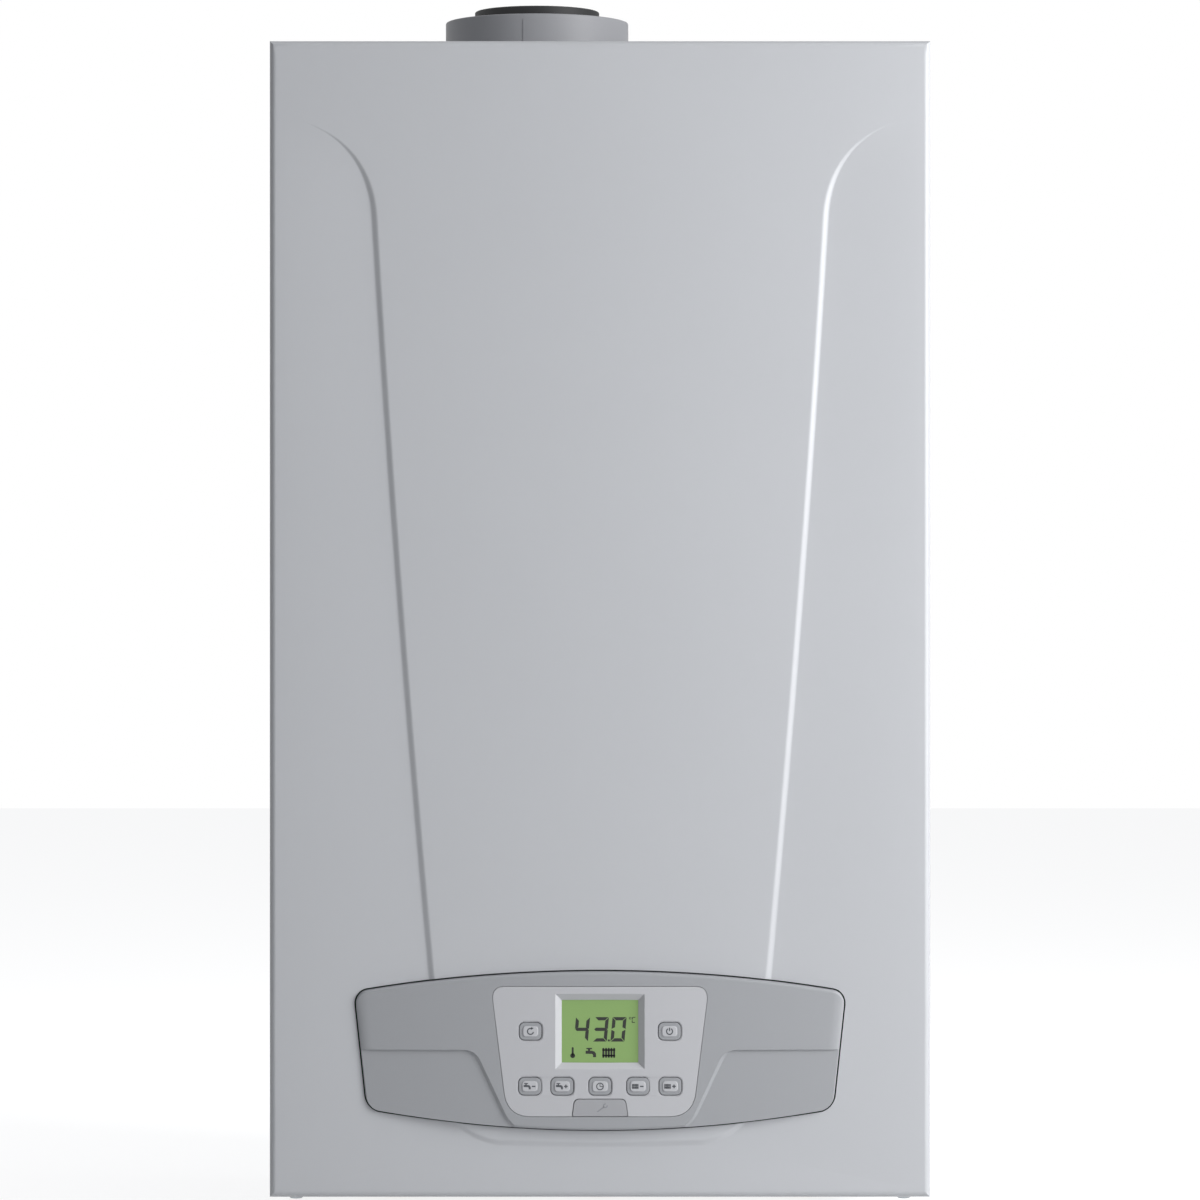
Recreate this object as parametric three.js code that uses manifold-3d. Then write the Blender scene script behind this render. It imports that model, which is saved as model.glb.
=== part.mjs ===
// Wall-hung condensing combi boiler, 400 x 700 x 299 mm, with its front casing, tilting control box
// and everything behind them. Millimetres. The origin is the centre of the back face, in the plane
// of the wall: +X is to the right as seen from the front, the front faces -Y, and +Z is up.

import * as THREE from 'three';
import { mergeVertices } from 'three/addons/utils/BufferGeometryUtils.js';
import Module from 'manifold-3d';

const wasm = await Module();
wasm.setup();

// ---------------------------------------------------------------- driving dimensions

const CASE_WIDTH = 400;
const CASE_HEIGHT = 700;
const CASE_DEPTH = 293;          // wall to the flat of the front casing
const CASE_FOOT = -CASE_HEIGHT / 2;
const SHEET = 1;                 // painted steel of the visible case
const SEAT = 0.3;                // gap between pieces that rest on each other
const RUN = 0.5;                 // gap round pieces that move

const CASING_RETURN = 29;        // depth of the front casing's side returns
const CASING_FOLD = 4;           // outer radius of the casing's folded edges
const CASING_LIFT = 0.5;         // joint between the casing and the side panels
const RELIEF_DEPTH = 1.5;         // how far the pressed side zones lie behind the centre field
const RELIEF_BAND = 4.5;         // width of the pressed step

const CHASSIS_SHEET = 1.2;       // galvanised steel of the inner panels
const BACK_FLANGE = 16;
const TRAY_RISE = 10;            // bottom tray above the lower edge of the case
const TRAY_SETBACK = 88;         // bottom tray's front behind the casing's flat
const FRAME_FRONT = 83.7;        // front of the support frame, from the wall
const FRAME_BAR = 16;

const FASCIA_BOTTOM = CASE_FOOT + 41.2;
const FASCIA_TOP = FASCIA_BOTTOM + 95.7;  // height of its top edge at its centre
const FASCIA_CORNER = 6.5;
const FASCIA_HALF = 148.5;       // half width at the top corners
const FASCIA_TAPER = 0.107;      // how much narrower per millimetre further down
const FASCIA_BOW = 12.5;         // rise of its curved top and bottom edges
const FASCIA_PROUD = 6;          // crown in front of the casing
const FASCIA_CROWN = 4;          // fall of the crown from the centre to the sides
const FASCIA_EDGE = 2;           // rounded front edge
const WINDOW_GAP = 1.2;          // slot between fascia and casing
const WING_STEP = 1.5;           // depth of the lower wings
const WING_LINE = FASCIA_TOP - 47.2;

const KEYPAD_TOP = FASCIA_TOP - 8.9;
const KEYPAD_BOTTOM = KEYPAD_TOP - 78.4;
const KEYPAD_HALF_TOP = 65.6;
const KEYPAD_HALF_BOTTOM = 56;
const KEYPAD_THICK = 3;
const KEYPAD_LEDGE = 4;
const DISPLAY_HALF = 23.2;       // visible half width of the liquid crystal
const DISPLAY_TOP = KEYPAD_TOP - 8.2;
const DISPLAY_BOTTOM = DISPLAY_TOP - 37.9;
const DISPLAY_BEVEL = 4;
const BUTTON_WIDTH = 13.5;
const BUTTON_HEIGHT = 10.6;
const BUTTON_CORNER = 3.2;
const BUTTON_TRAVEL = 1.2;
const BUTTON_DISH = 0.7;
const CAP_HALF_TOP = 15.3;
const CAP_HALF_BOTTOM = 16.8;
const CAP_HEIGHT = 10.4;

const BOX_HALF = 165;            // control box behind the fascia
const BOX_TOP = FASCIA_TOP + 8.1;
const BOX_BOTTOM = FASCIA_BOTTOM - 13.2;
const BOX_SETBACK = 7;           // its open front behind the casing's flat
const BOX_DEPTH = 69;
const BOX_WALL = 2.5;
const HINGE_INSET = 5;           // hinge axis in front of the box's back
const HINGE_HEIGHT = BOX_BOTTOM - 8;
const HINGE_PIN = 6;             // diameter
const EAR_X = 120;
const EAR_WIDTH = 6;
const PIN_REACH = 16;

const FLUE_X = -40;
const FLUE_DEPTH = 135;
const FLUE_BORE = 60;            // exhaust pipe, outside
const FLUE_WALL = 1.5;
const COLLAR_DIAMETER = 116;
const COLLAR_HEIGHT = 28;
const AIR_BORE = 102;
const SOCKET_DIAMETER = 79;
const SOCKET_RISE = 35;

const DRUM_X = -25;              // heat exchanger
const DRUM_GAP = 173;            // its axis below the fan's
const PUMP_GAP = 225;            // and the pump's below that
const DRUM_DIAMETER = 200;
const DRUM_SETBACK = 65;         // drum's flange behind the casing's flat
const DRUM_WALL = 3;
const BEAD_DEPTH = 4;
const DOOR_DIAMETER = 190;
const DOOR_THICK = 8;
const DUCT_SETBACK = 31;         // burner duct and fan behind the casing's flat
const DUCT_WIDTH = 44;

const FAN_SIDE = 122;            // fan's axis from the right side of the case
const FAN_GAP = 82;              // and below the top of the case
const FAN_DEPTH = 56;
const FAN_WALL = 3;
const WHEEL_DIAMETER = 74;
const WHEEL_WIDTH = 34;
const WHEEL_EYE = 44;
const WHEEL_BLADES = 11;
const MOTOR_DIAMETER = 88;
const MOTOR_LENGTH = 46;

const TAP_PIPES = [              // pipe ends, from the left: name, place, outside diameter
  { name: 'heating_flow_nipple', x: -130, diameter: 22 },
  { name: 'hot_water_nipple', x: -65, diameter: 15 },
  { name: 'gas_inlet_pipe', x: 0, diameter: 22 },
  { name: 'cold_water_nipple', x: 65, diameter: 15 },
  { name: 'heating_return_nipple', x: 130, diameter: 22 },
];
const TAP_DEPTH = 95;            // pipe ends from the wall
const TAP_REACH = 16;            // how far the pipe ends stand out below the case
const PIPE_WALL = 1.5;
const PIPE_BEND = 22;

const DRAIN_X = -100;             // what else comes out under the boiler
const DRAIN_Y = -160;
const SAFETY_SIDE = 24;          // safety valve from the right side of the case
const SAFETY_Y = -100;
const FILLING_GAP = 28;          // filling tap to the left of it
const FILLING_Y = -122;
const GAUGE_X = 60;
const GAUGE_SETBACK = 35;        // pressure gauge behind the tray's front

const VESSEL_X = -15;
const VESSEL_WIDTH = 270;
const VESSEL_GAP = 25;           // its top below the top of the case
const VESSEL_DEPTH = 70;
const VESSEL_CORNER = 48;
const VESSEL_WALL = 2;

// ---------------------------------------------------------------- derived dimensions

const HALF_WIDTH = CASE_WIDTH / 2;
const HALF_HEIGHT = CASE_HEIGHT / 2;
const FRONT = -CASE_DEPTH;
const CASING_BACK = FRONT + CASING_RETURN;
const PANEL_FRONT = CASING_BACK + CASING_LIFT;
const PANEL_BACK = -CHASSIS_SHEET - SEAT;
const INNER_HALF = HALF_WIDTH - SHEET - SEAT;
const TRAY_Z = CASE_FOOT + TRAY_RISE;
const CROWN = FRONT - FASCIA_PROUD;
const TRAY_DEPTH = CASE_DEPTH - TRAY_SETBACK;
const BOX_FRONT = CASE_DEPTH - BOX_SETBACK;
const BOX_BACK = BOX_FRONT - BOX_DEPTH;
const HINGE_DEPTH = BOX_BACK + HINGE_INSET;
const DRUM_BACK = FRAME_FRONT + SEAT;
const DRUM_FRONT = CASE_DEPTH - DRUM_SETBACK;
const DUCT_FRONT = CASE_DEPTH - DUCT_SETBACK;
const FAN_FRONT = DUCT_FRONT;
const FAN_BACK = FAN_FRONT - FAN_DEPTH;
const FAN_X = HALF_WIDTH - FAN_SIDE;
const FAN_Z = HALF_HEIGHT - FAN_GAP;
const DRUM_Z = FAN_Z - DRUM_GAP;
const GAUGE_Y = -TRAY_DEPTH + GAUGE_SETBACK;
const GROUP_FOOT = CASE_FOOT + 50;       // water groups stand on one level, over the tray
const PUMP_Z = DRUM_Z - PUMP_GAP;
const VESSEL_BOTTOM = PUMP_Z + 70;
const VESSEL_HEIGHT = HALF_HEIGHT - VESSEL_GAP - VESSEL_BOTTOM;
const TAP_END = CASE_FOOT - TAP_REACH;
const SAFETY_X = HALF_WIDTH - SAFETY_SIDE;
const FILLING_X = SAFETY_X - FILLING_GAP;

// ---------------------------------------------------------------- finishes

function finish(color, roughness, metalness) {
  return new THREE.MeshStandardMaterial({ color, roughness, metalness });
}

const PAINT = finish(0xbec0c4, 0.45, 0.2);
const GALVANISED = finish(0xa9adb0, 0.45, 0.85);
const FASCIA_GREY = finish(0x9fa1a5, 0.5, 0);
const KEYPAD_GREY = finish(0xb7b8bc, 0.45, 0);
const BUTTON_GREY = finish(0xc3c4c7, 0.4, 0);
const LCD_GREEN = finish(0x81a062, 0.25, 0);
const BLACK_RUBBER = finish(0x232427, 0.85, 0);
const BLACK_PLASTIC = finish(0x2c2d30, 0.55, 0);
const COLLAR_GREY = finish(0x7f8083, 0.6, 0);
const STAINLESS = finish(0xc4c6c8, 0.3, 1);
const ALUMINIUM = finish(0xb4b6b8, 0.45, 1);
const COPPER = finish(0xb87350, 0.35, 1);
const BRASS = finish(0xc0a060, 0.35, 1);
const VESSEL_RED = finish(0xa02f2a, 0.45, 0.1);
const PUMP_BLACK = finish(0x2a2c30, 0.5, 0.2);
const GREY_COMPOSITE = finish(0x4a4c50, 0.6, 0);
const TRAP_WHITE = finish(0xd8d8d4, 0.5, 0);
const BOARD_GREEN = finish(0x2f6b3f, 0.5, 0);
const TAP_BLUE = finish(0x2c5f9e, 0.5, 0);
const VALVE_RED = finish(0xb03028, 0.5, 0);
const DIAL_WHITE = finish(0xe6e6e2, 0.4, 0);
const ZINC = finish(0x9ba0a4, 0.35, 1);

const boiler = new THREE.Group();

// ---------------------------------------------------------------- solids

/** A closed geometry as a solid, with its shared corners merged and its faces pointing out. */
function solid(geometry) {
  const bare = new THREE.BufferGeometry();
  bare.setAttribute('position', geometry.getAttribute('position').clone());
  if (geometry.index) {
    bare.setIndex(geometry.index.clone());
  }
  const merged = mergeVertices(bare, 1e-4);
  const position = merged.getAttribute('position').array;
  const corners = [];
  let volume = 0;
  const [a, b, c] = [new THREE.Vector3(), new THREE.Vector3(), new THREE.Vector3()];
  for (let i = 0; i < merged.index.count; i += 3) {
    const [p, q, r] = [0, 1, 2].map((step) => merged.index.getX(i + step));
    if (p !== q && q !== r && r !== p) {
      corners.push(p, q, r);
      a.fromArray(position, 3 * p);
      b.fromArray(position, 3 * q);
      c.fromArray(position, 3 * r);
      volume += a.dot(b.cross(c)) / 6;
    }
  }
  if (volume < 0) {
    corners.reverse();
  }
  return new wasm.Manifold(new wasm.Mesh({
    numProp: 3,
    vertProperties: Float32Array.from(position),
    triVerts: Uint32Array.from(corners),
  }));
}

/** A solid's triangles as a geometry with flat shading. */
function toGeometry(shape) {
  const mesh = shape.getMesh();
  const geometry = new THREE.BufferGeometry();
  geometry.setAttribute('position', new THREE.BufferAttribute(Float32Array.from(mesh.vertProperties), 3));
  geometry.setIndex(new THREE.BufferAttribute(Uint32Array.from(mesh.triVerts), 1));
  geometry.computeVertexNormals();
  return geometry;
}

function join(first, ...others) {
  return others.reduce((sum, other) => sum.add(other), first);
}

function cut(body, ...tools) {
  return tools.reduce((rest, tool) => rest.subtract(tool), body);
}

/** Adds a finished solid to the boiler as a named piece. */
function piece(name, shape, material, parent = boiler) {
  const mesh = new THREE.Mesh(toGeometry(shape), material);
  mesh.name = name;
  parent.add(mesh);
  return mesh;
}

/** A block between two opposite corners. */
function box(x0, x1, y0, y1, z0, z1) {
  const geometry = new THREE.BoxGeometry(Math.abs(x1 - x0), Math.abs(y1 - y0), Math.abs(z1 - z0));
  geometry.translate((x0 + x1) / 2, (y0 + y1) / 2, (z0 + z1) / 2);
  return solid(geometry);
}

// Each turn below takes a shape drawn in its own plane to the plane across the named axis:
// across X it is drawn in (y, z), across Y in (x, z) and across Z in (x, y).
const ACROSS = {
  x: new THREE.Matrix4().makeBasis(
    new THREE.Vector3(0, 1, 0), new THREE.Vector3(0, 0, 1), new THREE.Vector3(1, 0, 0)),
  y: new THREE.Matrix4().makeBasis(
    new THREE.Vector3(1, 0, 0), new THREE.Vector3(0, 0, 1), new THREE.Vector3(0, -1, 0)),
  z: new THREE.Matrix4(),
};

/** A flat shape drawn out along an axis, from one coordinate on it to the other. */
function prism(axis, shape, from, to, steps = 6) {
  const depth = Math.abs(to - from);
  const geometry = new THREE.ExtrudeGeometry(shape, { depth, bevelEnabled: false, curveSegments: steps });
  const start = axis === 'y' ? -Math.max(from, to) : Math.min(from, to);
  geometry.translate(0, 0, start);
  geometry.applyMatrix4(ACROSS[axis]);
  return solid(geometry);
}

/** A profile of [radius, place along the axis] turned round an axis through (u, v). */
function turned(axis, profile, u, v, segments = 24) {
  const points = profile.map(([radius, along]) => new THREE.Vector2(radius, along));
  const geometry = new THREE.LatheGeometry(points, segments);
  // The lathe turns round its own Y axis, so the three axes swap places in order.
  if (axis === 'x') {
    geometry.rotateZ(-Math.PI / 2);
    geometry.translate(0, u, v);
  } else if (axis === 'y') {
    geometry.translate(u, 0, v);
  } else {
    geometry.rotateX(Math.PI / 2);
    geometry.translate(u, v, 0);
  }
  return solid(geometry);
}

/** A round rod along an axis, between two coordinates on it. */
function rod(axis, from, to, u, v, radius, segments = 24) {
  const [low, high] = [Math.min(from, to), Math.max(from, to)];
  return turned(axis, [[0, low], [radius, low], [radius, high], [0, high]], u, v, segments);
}

/** A round tube along an axis: a rod with a bore right through it. */
function tube(axis, from, to, u, v, radius, bore, segments = 24) {
  const [low, high] = [Math.min(from, to), Math.max(from, to)];
  const profile = [[bore, low], [radius, low], [radius, high], [bore, high], [bore, low]];
  return turned(axis, profile, u, v, segments);
}

/** A rectangle with round corners, about (x, y). */
function roundedRect(width, height, radius, x = 0, y = 0) {
  const [left, right, low, high] = [x - width / 2, x + width / 2, y - height / 2, y + height / 2];
  const shape = new THREE.Shape();
  shape.moveTo(left + radius, low);
  shape.lineTo(right - radius, low);
  shape.absarc(right - radius, low + radius, radius, -Math.PI / 2, 0, false);
  shape.lineTo(right, high - radius);
  shape.absarc(right - radius, high - radius, radius, 0, Math.PI / 2, false);
  shape.lineTo(left + radius, high);
  shape.absarc(left + radius, high - radius, radius, Math.PI / 2, Math.PI, false);
  shape.lineTo(left, low + radius);
  shape.absarc(left + radius, low + radius, radius, Math.PI, 1.5 * Math.PI, false);
  return shape;
}

function polygon(points) {
  return new THREE.Shape(points.map(([x, y]) => new THREE.Vector2(x, y)));
}

/** A closed solid through rings with the same number of points each, with flat caps at both ends. */
function loft(rings) {
  const count = rings[0].length;
  const position = rings.flat(2);
  const index = [];
  for (let ring = 0; ring + 1 < rings.length; ring += 1) {
    for (let i = 0; i < count; i += 1) {
      const j = (i + 1) % count;
      const [a, b] = [ring * count + i, ring * count + j];
      index.push(a, b, b + count, a, b + count, a + count);
    }
  }
  const last = (rings.length - 1) * count;
  for (const [start, flip] of [[0, true], [last, false]]) {
    const ring = rings[start / count];
    const hub = ringHub(ring);
    const centre = position.length / 3;
    position.push(...(hub ?? []));
    const triangles = hub ? ring.map((_, i) => [i, (i + 1) % count, centre - start]) : capTriangles(ring);
    for (const [a, b, c] of triangles) {
      index.push(start + a, start + (flip ? c : b), start + (flip ? b : c));
    }
  }
  const geometry = new THREE.BufferGeometry();
  geometry.setAttribute('position', new THREE.Float32BufferAttribute(position, 3));
  geometry.setIndex(index);
  return solid(geometry);
}

function ringNormal(ring) {
  const normal = new THREE.Vector3();
  ring.forEach((point, i) => {
    const next = ring[(i + 1) % ring.length];
    normal.add(new THREE.Vector3(...point).cross(new THREE.Vector3(...next)));
  });
  return normal.normalize();
}

/** The middle of a flat ring, if every stretch of the ring can be seen from it. */
function ringHub(ring) {
  const normal = ringNormal(ring);
  const hub = new THREE.Vector3();
  ring.forEach((point) => hub.addScaledVector(new THREE.Vector3(...point), 1 / ring.length));
  const seen = ring.every((point, i) => {
    const next = new THREE.Vector3(...ring[(i + 1) % ring.length]).sub(hub);
    return new THREE.Vector3(...point).sub(hub).cross(next).dot(normal) > 1e-3;
  });
  return seen ? hub.toArray() : null;
}

/** Triangles that fill a flat ring, in the ring's own turning direction. */
function capTriangles(ring) {
  const normal = ringNormal(ring);
  const across = new THREE.Vector3(1, 0, 0);
  if (Math.abs(normal.x) > 0.8) {
    across.set(0, 1, 0);
  }
  const u = across.cross(normal).normalize();
  const v = new THREE.Vector3().crossVectors(normal, u);
  const flat = ring.map((point) => {
    const corner = new THREE.Vector3(...point);
    return new THREE.Vector2(corner.dot(u), corner.dot(v));
  });
  return THREE.ShapeUtils.triangulateShape(flat, []);
}

/** A round pipe through straight runs, with a smooth bend of the given radius at each corner. */
function pipe(corners, radius, bend = PIPE_BEND, sides = 10) {
  const points = corners.map((corner) => new THREE.Vector3(...corner));
  const stations = [];
  points.forEach((point, i) => {
    if (i === 0 || i === points.length - 1) {
      const tangent = i === 0 ? points[1].clone().sub(point) : point.clone().sub(points[i - 1]);
      stations.push({ at: point, tangent: tangent.normalize() });
      return;
    }
    const arriving = point.clone().sub(points[i - 1]).normalize();
    const leaving = points[i + 1].clone().sub(point).normalize();
    const angle = arriving.angleTo(leaving);
    const setback = bend * Math.tan(angle / 2);
    const inward = leaving.clone().sub(arriving).normalize();
    const centre = point.clone().addScaledVector(inward, bend / Math.cos(angle / 2));
    const start = point.clone().addScaledVector(arriving, -setback);
    const hinge = new THREE.Vector3().crossVectors(arriving, leaving).normalize();
    const steps = Math.max(2, Math.ceil(angle / (Math.PI / 6)));
    for (let step = 0; step <= steps; step += 1) {
      const turn = angle * step / steps;
      stations.push({
        at: start.clone().sub(centre).applyAxisAngle(hinge, turn).add(centre),
        tangent: arriving.clone().applyAxisAngle(hinge, turn),
      });
    }
  });
  let side = new THREE.Vector3(0, 0, 1);
  if (Math.abs(stations[0].tangent.z) > 0.8) {
    side.set(1, 0, 0);
  }
  const rings = stations.map(({ at, tangent }) => {
    side = side.clone().addScaledVector(tangent, -side.dot(tangent)).normalize();
    const up = new THREE.Vector3().crossVectors(tangent, side);
    return Array.from({ length: sides }, (_, i) => {
      const turn = 2 * Math.PI * i / sides;
      return at.clone()
        .addScaledVector(side, radius * Math.cos(turn))
        .addScaledVector(up, radius * Math.sin(turn))
        .toArray();
    });
  });
  return loft(rings);
}

// ---------------------------------------------------------------- pressed front casing

// The pressed step runs down each side of the front: a shoulder near the top, a long bowed side,
// a lower corner and a flat bow under the fascia. Points are (x, z) on the right half.
const FIELD_CORNER = [HALF_WIDTH - CASING_FOLD - 2, HALF_HEIGHT - CASING_FOLD - 2];
const RELIEF_TOP = [HALF_WIDTH - 16, HALF_HEIGHT - 48];
const RELIEF_SHOULDER = [[143, RELIEF_TOP[1] - 12], [139, RELIEF_TOP[1] - 57]];
const RELIEF_SIDE = [[126, FASCIA_TOP + 233.1], [104.7, FASCIA_TOP + 1.1]];
const RELIEF_CORNER_START = [96, FASCIA_BOTTOM + 19.8];
const RELIEF_CORNER = [[90, FASCIA_BOTTOM - 5.7], [62, FASCIA_BOTTOM - 10.2]];
const RELIEF_LOWEST = FASCIA_BOTTOM - 11.2;

function bow(from, via, to, steps) {
  const [a, b, c] = [from, via, to].map(([x, z]) => new THREE.Vector2(x, z));
  return new THREE.QuadraticBezierCurve(a, b, c).getPoints(steps).map((point) => [point.x, point.y]);
}

/** The right half of the step's foot from the field's top corner to the middle of the lower bow, each
    point with its share of the full step and the point of the case's edge that it looks out to. */
function reliefHalf() {
  const shoulder = bow(RELIEF_TOP, ...RELIEF_SHOULDER, 4);
  const side = bow(RELIEF_SHOULDER[1], ...RELIEF_SIDE, 4).slice(1);
  const corner = bow(RELIEF_CORNER_START, ...RELIEF_CORNER, 3);
  const upright = [FIELD_CORNER, ...shoulder, ...side, ...corner];
  const left = RELIEF_CORNER[1][0];
  const points = upright.map(([x, z], i) => {
    const fade = THREE.MathUtils.smoothstep((i - 1) / (shoulder.length - 1), 0, 1);
    const share = (FIELD_CORNER[1] - z) / (FIELD_CORNER[1] - RELIEF_CORNER[1][1]);
    return { x, z, fade, edge: [1, 1 - 2 * share] };
  });
  const low = [0.5, 0].map((share) => {
    const x = left * share;
    const z = RELIEF_LOWEST + (RELIEF_CORNER[1][1] - RELIEF_LOWEST) * share * share;
    return { x, z, fade: 1, edge: [share, -1] };
  });
  return [...points, ...low];
}

function reliefContour() {
  const half = reliefHalf();
  const mirrored = half.slice(0, -1).reverse().map(({ x, z, fade, edge }) => (
    { x: -x, z, fade, edge: [-edge[0], edge[1]] }));
  return [...half, ...mirrored];
}

/** The casing's outer form as a block, or its hollow when drawn in by the sheet's thickness. */
function casingBlock(inset, back) {
  const contour = reliefContour();
  const front = FRONT + inset;
  const fold = CASING_FOLD - inset;
  const rim = (drawnIn, y) => contour.map(({ edge }) => (
    [edge[0] * (HALF_WIDTH - inset - drawnIn), y, edge[1] * (HALF_HEIGHT - inset - drawnIn)]));
  const foot = contour.map(({ x, z, fade }) => [x, front + RELIEF_DEPTH * fade, z]);
  const field = contour.map(({ x, z, fade }, i) => {
    const before = contour[(i + contour.length - 1) % contour.length];
    const after = contour[(i + 1) % contour.length];
    const inward = new THREE.Vector2(after.z - before.z, before.x - after.x).normalize();
    const band = RELIEF_BAND * (0.15 + 0.85 * fade);
    return [x + inward.x * band, front, z + inward.y * band];
  });
  const slope = Math.PI / 6;
  return loft([
    rim(0, back),
    rim(0, front + fold),
    rim(fold * (1 - Math.cos(slope)), front + fold * (1 - Math.sin(slope))),
    rim(fold * (1 - Math.cos(2 * slope)), front + fold * (1 - Math.sin(2 * slope))),
    rim(fold, front),
    foot,
    field,
  ]);
}

// ---------------------------------------------------------------- outline of the fascia

const FASCIA_SIDE_Z = FASCIA_TOP - FASCIA_BOW;

/** Columns across the fascia: place before the taper, and how far its corners draw the ends in. */
function fasciaColumns(half, corner, middle = 12) {
  const columns = [];
  const turns = [0, 30, 60].map(THREE.MathUtils.degToRad);
  turns.forEach((turn) => {
    columns.push({ x: -(half - corner) - corner * Math.cos(turn), drawn: 1 - Math.sin(turn) });
  });
  for (let i = 0; i <= middle; i += 1) {
    columns.push({ x: (half - corner) * (2 * i / middle - 1), drawn: 0 });
  }
  turns.reverse().forEach((turn) => {
    columns.push({ x: half - corner + corner * Math.cos(turn), drawn: 1 - Math.sin(turn) });
  });
  return columns;
}

function taper(x, z) {
  return x * (1 - FASCIA_TAPER * (FASCIA_SIDE_Z - z) / FASCIA_HALF);
}

function crownAt(x) {
  return CROWN + FASCIA_CROWN * (x / FASCIA_HALF) ** 2;
}

function fasciaEdges({ x, drawn }, grow) {
  const rise = FASCIA_BOW * (x / FASCIA_HALF) ** 2;
  const corner = (FASCIA_CORNER + grow) * drawn;
  return [FASCIA_TOP + grow - rise - corner, FASCIA_BOTTOM - grow + rise + corner];
}

/** The fascia's outline, grown by a gap, as a flat shape. */
function fasciaShape(grow) {
  const columns = fasciaColumns(FASCIA_HALF + grow, FASCIA_CORNER + grow);
  const top = columns.map((column) => {
    const z = fasciaEdges(column, grow)[0];
    return [taper(column.x, z), z];
  });
  const bottom = columns.map((column) => {
    const z = fasciaEdges(column, grow)[1];
    return [taper(column.x, z), z];
  });
  return polygon([...bottom, ...top.reverse()]);
}

/** The moulded form of the fascia, crowned across, with rounded front edges. */
function fasciaBody(back) {
  const rings = fasciaColumns(FASCIA_HALF, FASCIA_CORNER).map((column) => {
    const [top, bottom] = fasciaEdges(column, 0);
    const front = crownAt(column.x) + FASCIA_EDGE * column.drawn;
    const ring = [[back, bottom]];
    [0, 45, 90].map(THREE.MathUtils.degToRad).forEach((turn) => {
      const [out, in_] = [FASCIA_EDGE * (1 - Math.sin(turn)), FASCIA_EDGE * (1 - Math.cos(turn))];
      ring.push([front + out, bottom + in_]);
    });
    const upper = ring.map(([y, z]) => [y, top - (z - bottom)]).reverse();
    return [...ring, ...upper].map(([y, z]) => [taper(column.x, z), y, z]);
  });
  return loft(rings);
}

/** A layer that follows the crown, between two depths behind the fascia's face. */
function crownLayer(from, to, half, low, high) {
  const steps = 4;
  const front = [];
  const rear = [];
  for (let i = 0; i <= steps; i += 1) {
    const x = half * (2 * i / steps - 1);
    front.push([x, crownAt(x) + from]);
    rear.push([x, crownAt(x) + to]);
  }
  return prism('z', polygon([...front, ...rear.reverse()]), low, high);
}

// ---------------------------------------------------------------- case

function openWindow(casing) {
  return cut(casing, prism('y', fasciaShape(WINDOW_GAP), FRONT - 10, CASING_BACK + 2));
}

const SCREW_X = HALF_WIDTH - 15;
const SCREW_Y = FRONT + 21;
const SCREW_SHANK = 4;
const SCREW_HEAD = 9;

const casing = new THREE.Group();
boiler.add(casing);
const screwHoles = [-1, 1].map((side) => (
  rod('z', -HALF_HEIGHT - 5, -HALF_HEIGHT + 5, side * SCREW_X, SCREW_Y, SCREW_SHANK / 2 + SEAT, 12)));
piece('front_casing', openWindow(cut(
  casingBlock(0, CASING_BACK),
  casingBlock(SHEET, CASING_BACK + 5),
  ...screwHoles,
)), PAINT, casing);

for (const [side, name] of [[-1, 'left'], [1, 'right']]) {
  const head = -HALF_HEIGHT - SEAT;
  piece(`casing_screw_${name}`, cut(
    turned('z', [
      [0, head - 2.4], [SCREW_HEAD / 2 - 1, head - 2.4], [SCREW_HEAD / 2, head - 1.4],
      [SCREW_HEAD / 2, head], [SCREW_SHANK / 2, head], [SCREW_SHANK / 2, head + 9], [0, head + 9],
    ], side * SCREW_X, SCREW_Y, 12),
    box(side * SCREW_X - 2.6, side * SCREW_X + 2.6, SCREW_Y - 0.5, SCREW_Y + 0.5, head - 3, head - 1.2),
  ), ZINC, casing);
}

// Each side panel has a front lip for the gasket and a forked tab for the casing's screw.
const LIP = 9;
const TAB_Z = -HALF_HEIGHT + SHEET + 3;
for (const [side, name] of [[-1, 'left'], [1, 'right']]) {
  const outer = side * HALF_WIDTH;
  const inner = side * (HALF_WIDTH - SHEET);
  const tabSide = side * (HALF_WIDTH - SHEET - 2 * SEAT);
  piece(`${name}_side_panel`, cut(
    join(
      box(outer, inner, PANEL_FRONT, 0, -HALF_HEIGHT, HALF_HEIGHT),
      box(inner, inner - side * LIP, PANEL_FRONT, PANEL_FRONT + SHEET,
        -HALF_HEIGHT + SHEET, HALF_HEIGHT - CHASSIS_SHEET - SEAT),
      box(tabSide, side * (SCREW_X - 10), PANEL_FRONT + SHEET, SCREW_Y - 5, TAB_Z, TAB_Z + 1.5),
    ),
    box(side * SCREW_X - SCREW_SHANK / 2 - RUN, side * SCREW_X + SCREW_SHANK / 2 + RUN,
      SCREW_Y - 6, SCREW_Y + SCREW_SHANK / 2 + RUN, TAB_Z - 1, TAB_Z + 3),
  ), PAINT);
}

const TOP_UNDER = HALF_HEIGHT - CHASSIS_SHEET;
piece('top_panel', cut(
  join(
    box(-INNER_HALF, INNER_HALF, PANEL_FRONT, PANEL_BACK, TOP_UNDER, HALF_HEIGHT),
    box(-INNER_HALF + 30, INNER_HALF - 30, PANEL_BACK - 40, PANEL_BACK - 40 - CHASSIS_SHEET,
      TOP_UNDER - 8, TOP_UNDER),
  ),
  rod('z', TOP_UNDER - 5, HALF_HEIGHT + 5, FLUE_X, -FLUE_DEPTH, AIR_BORE / 2 + 2, 28),
), PAINT);

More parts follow.
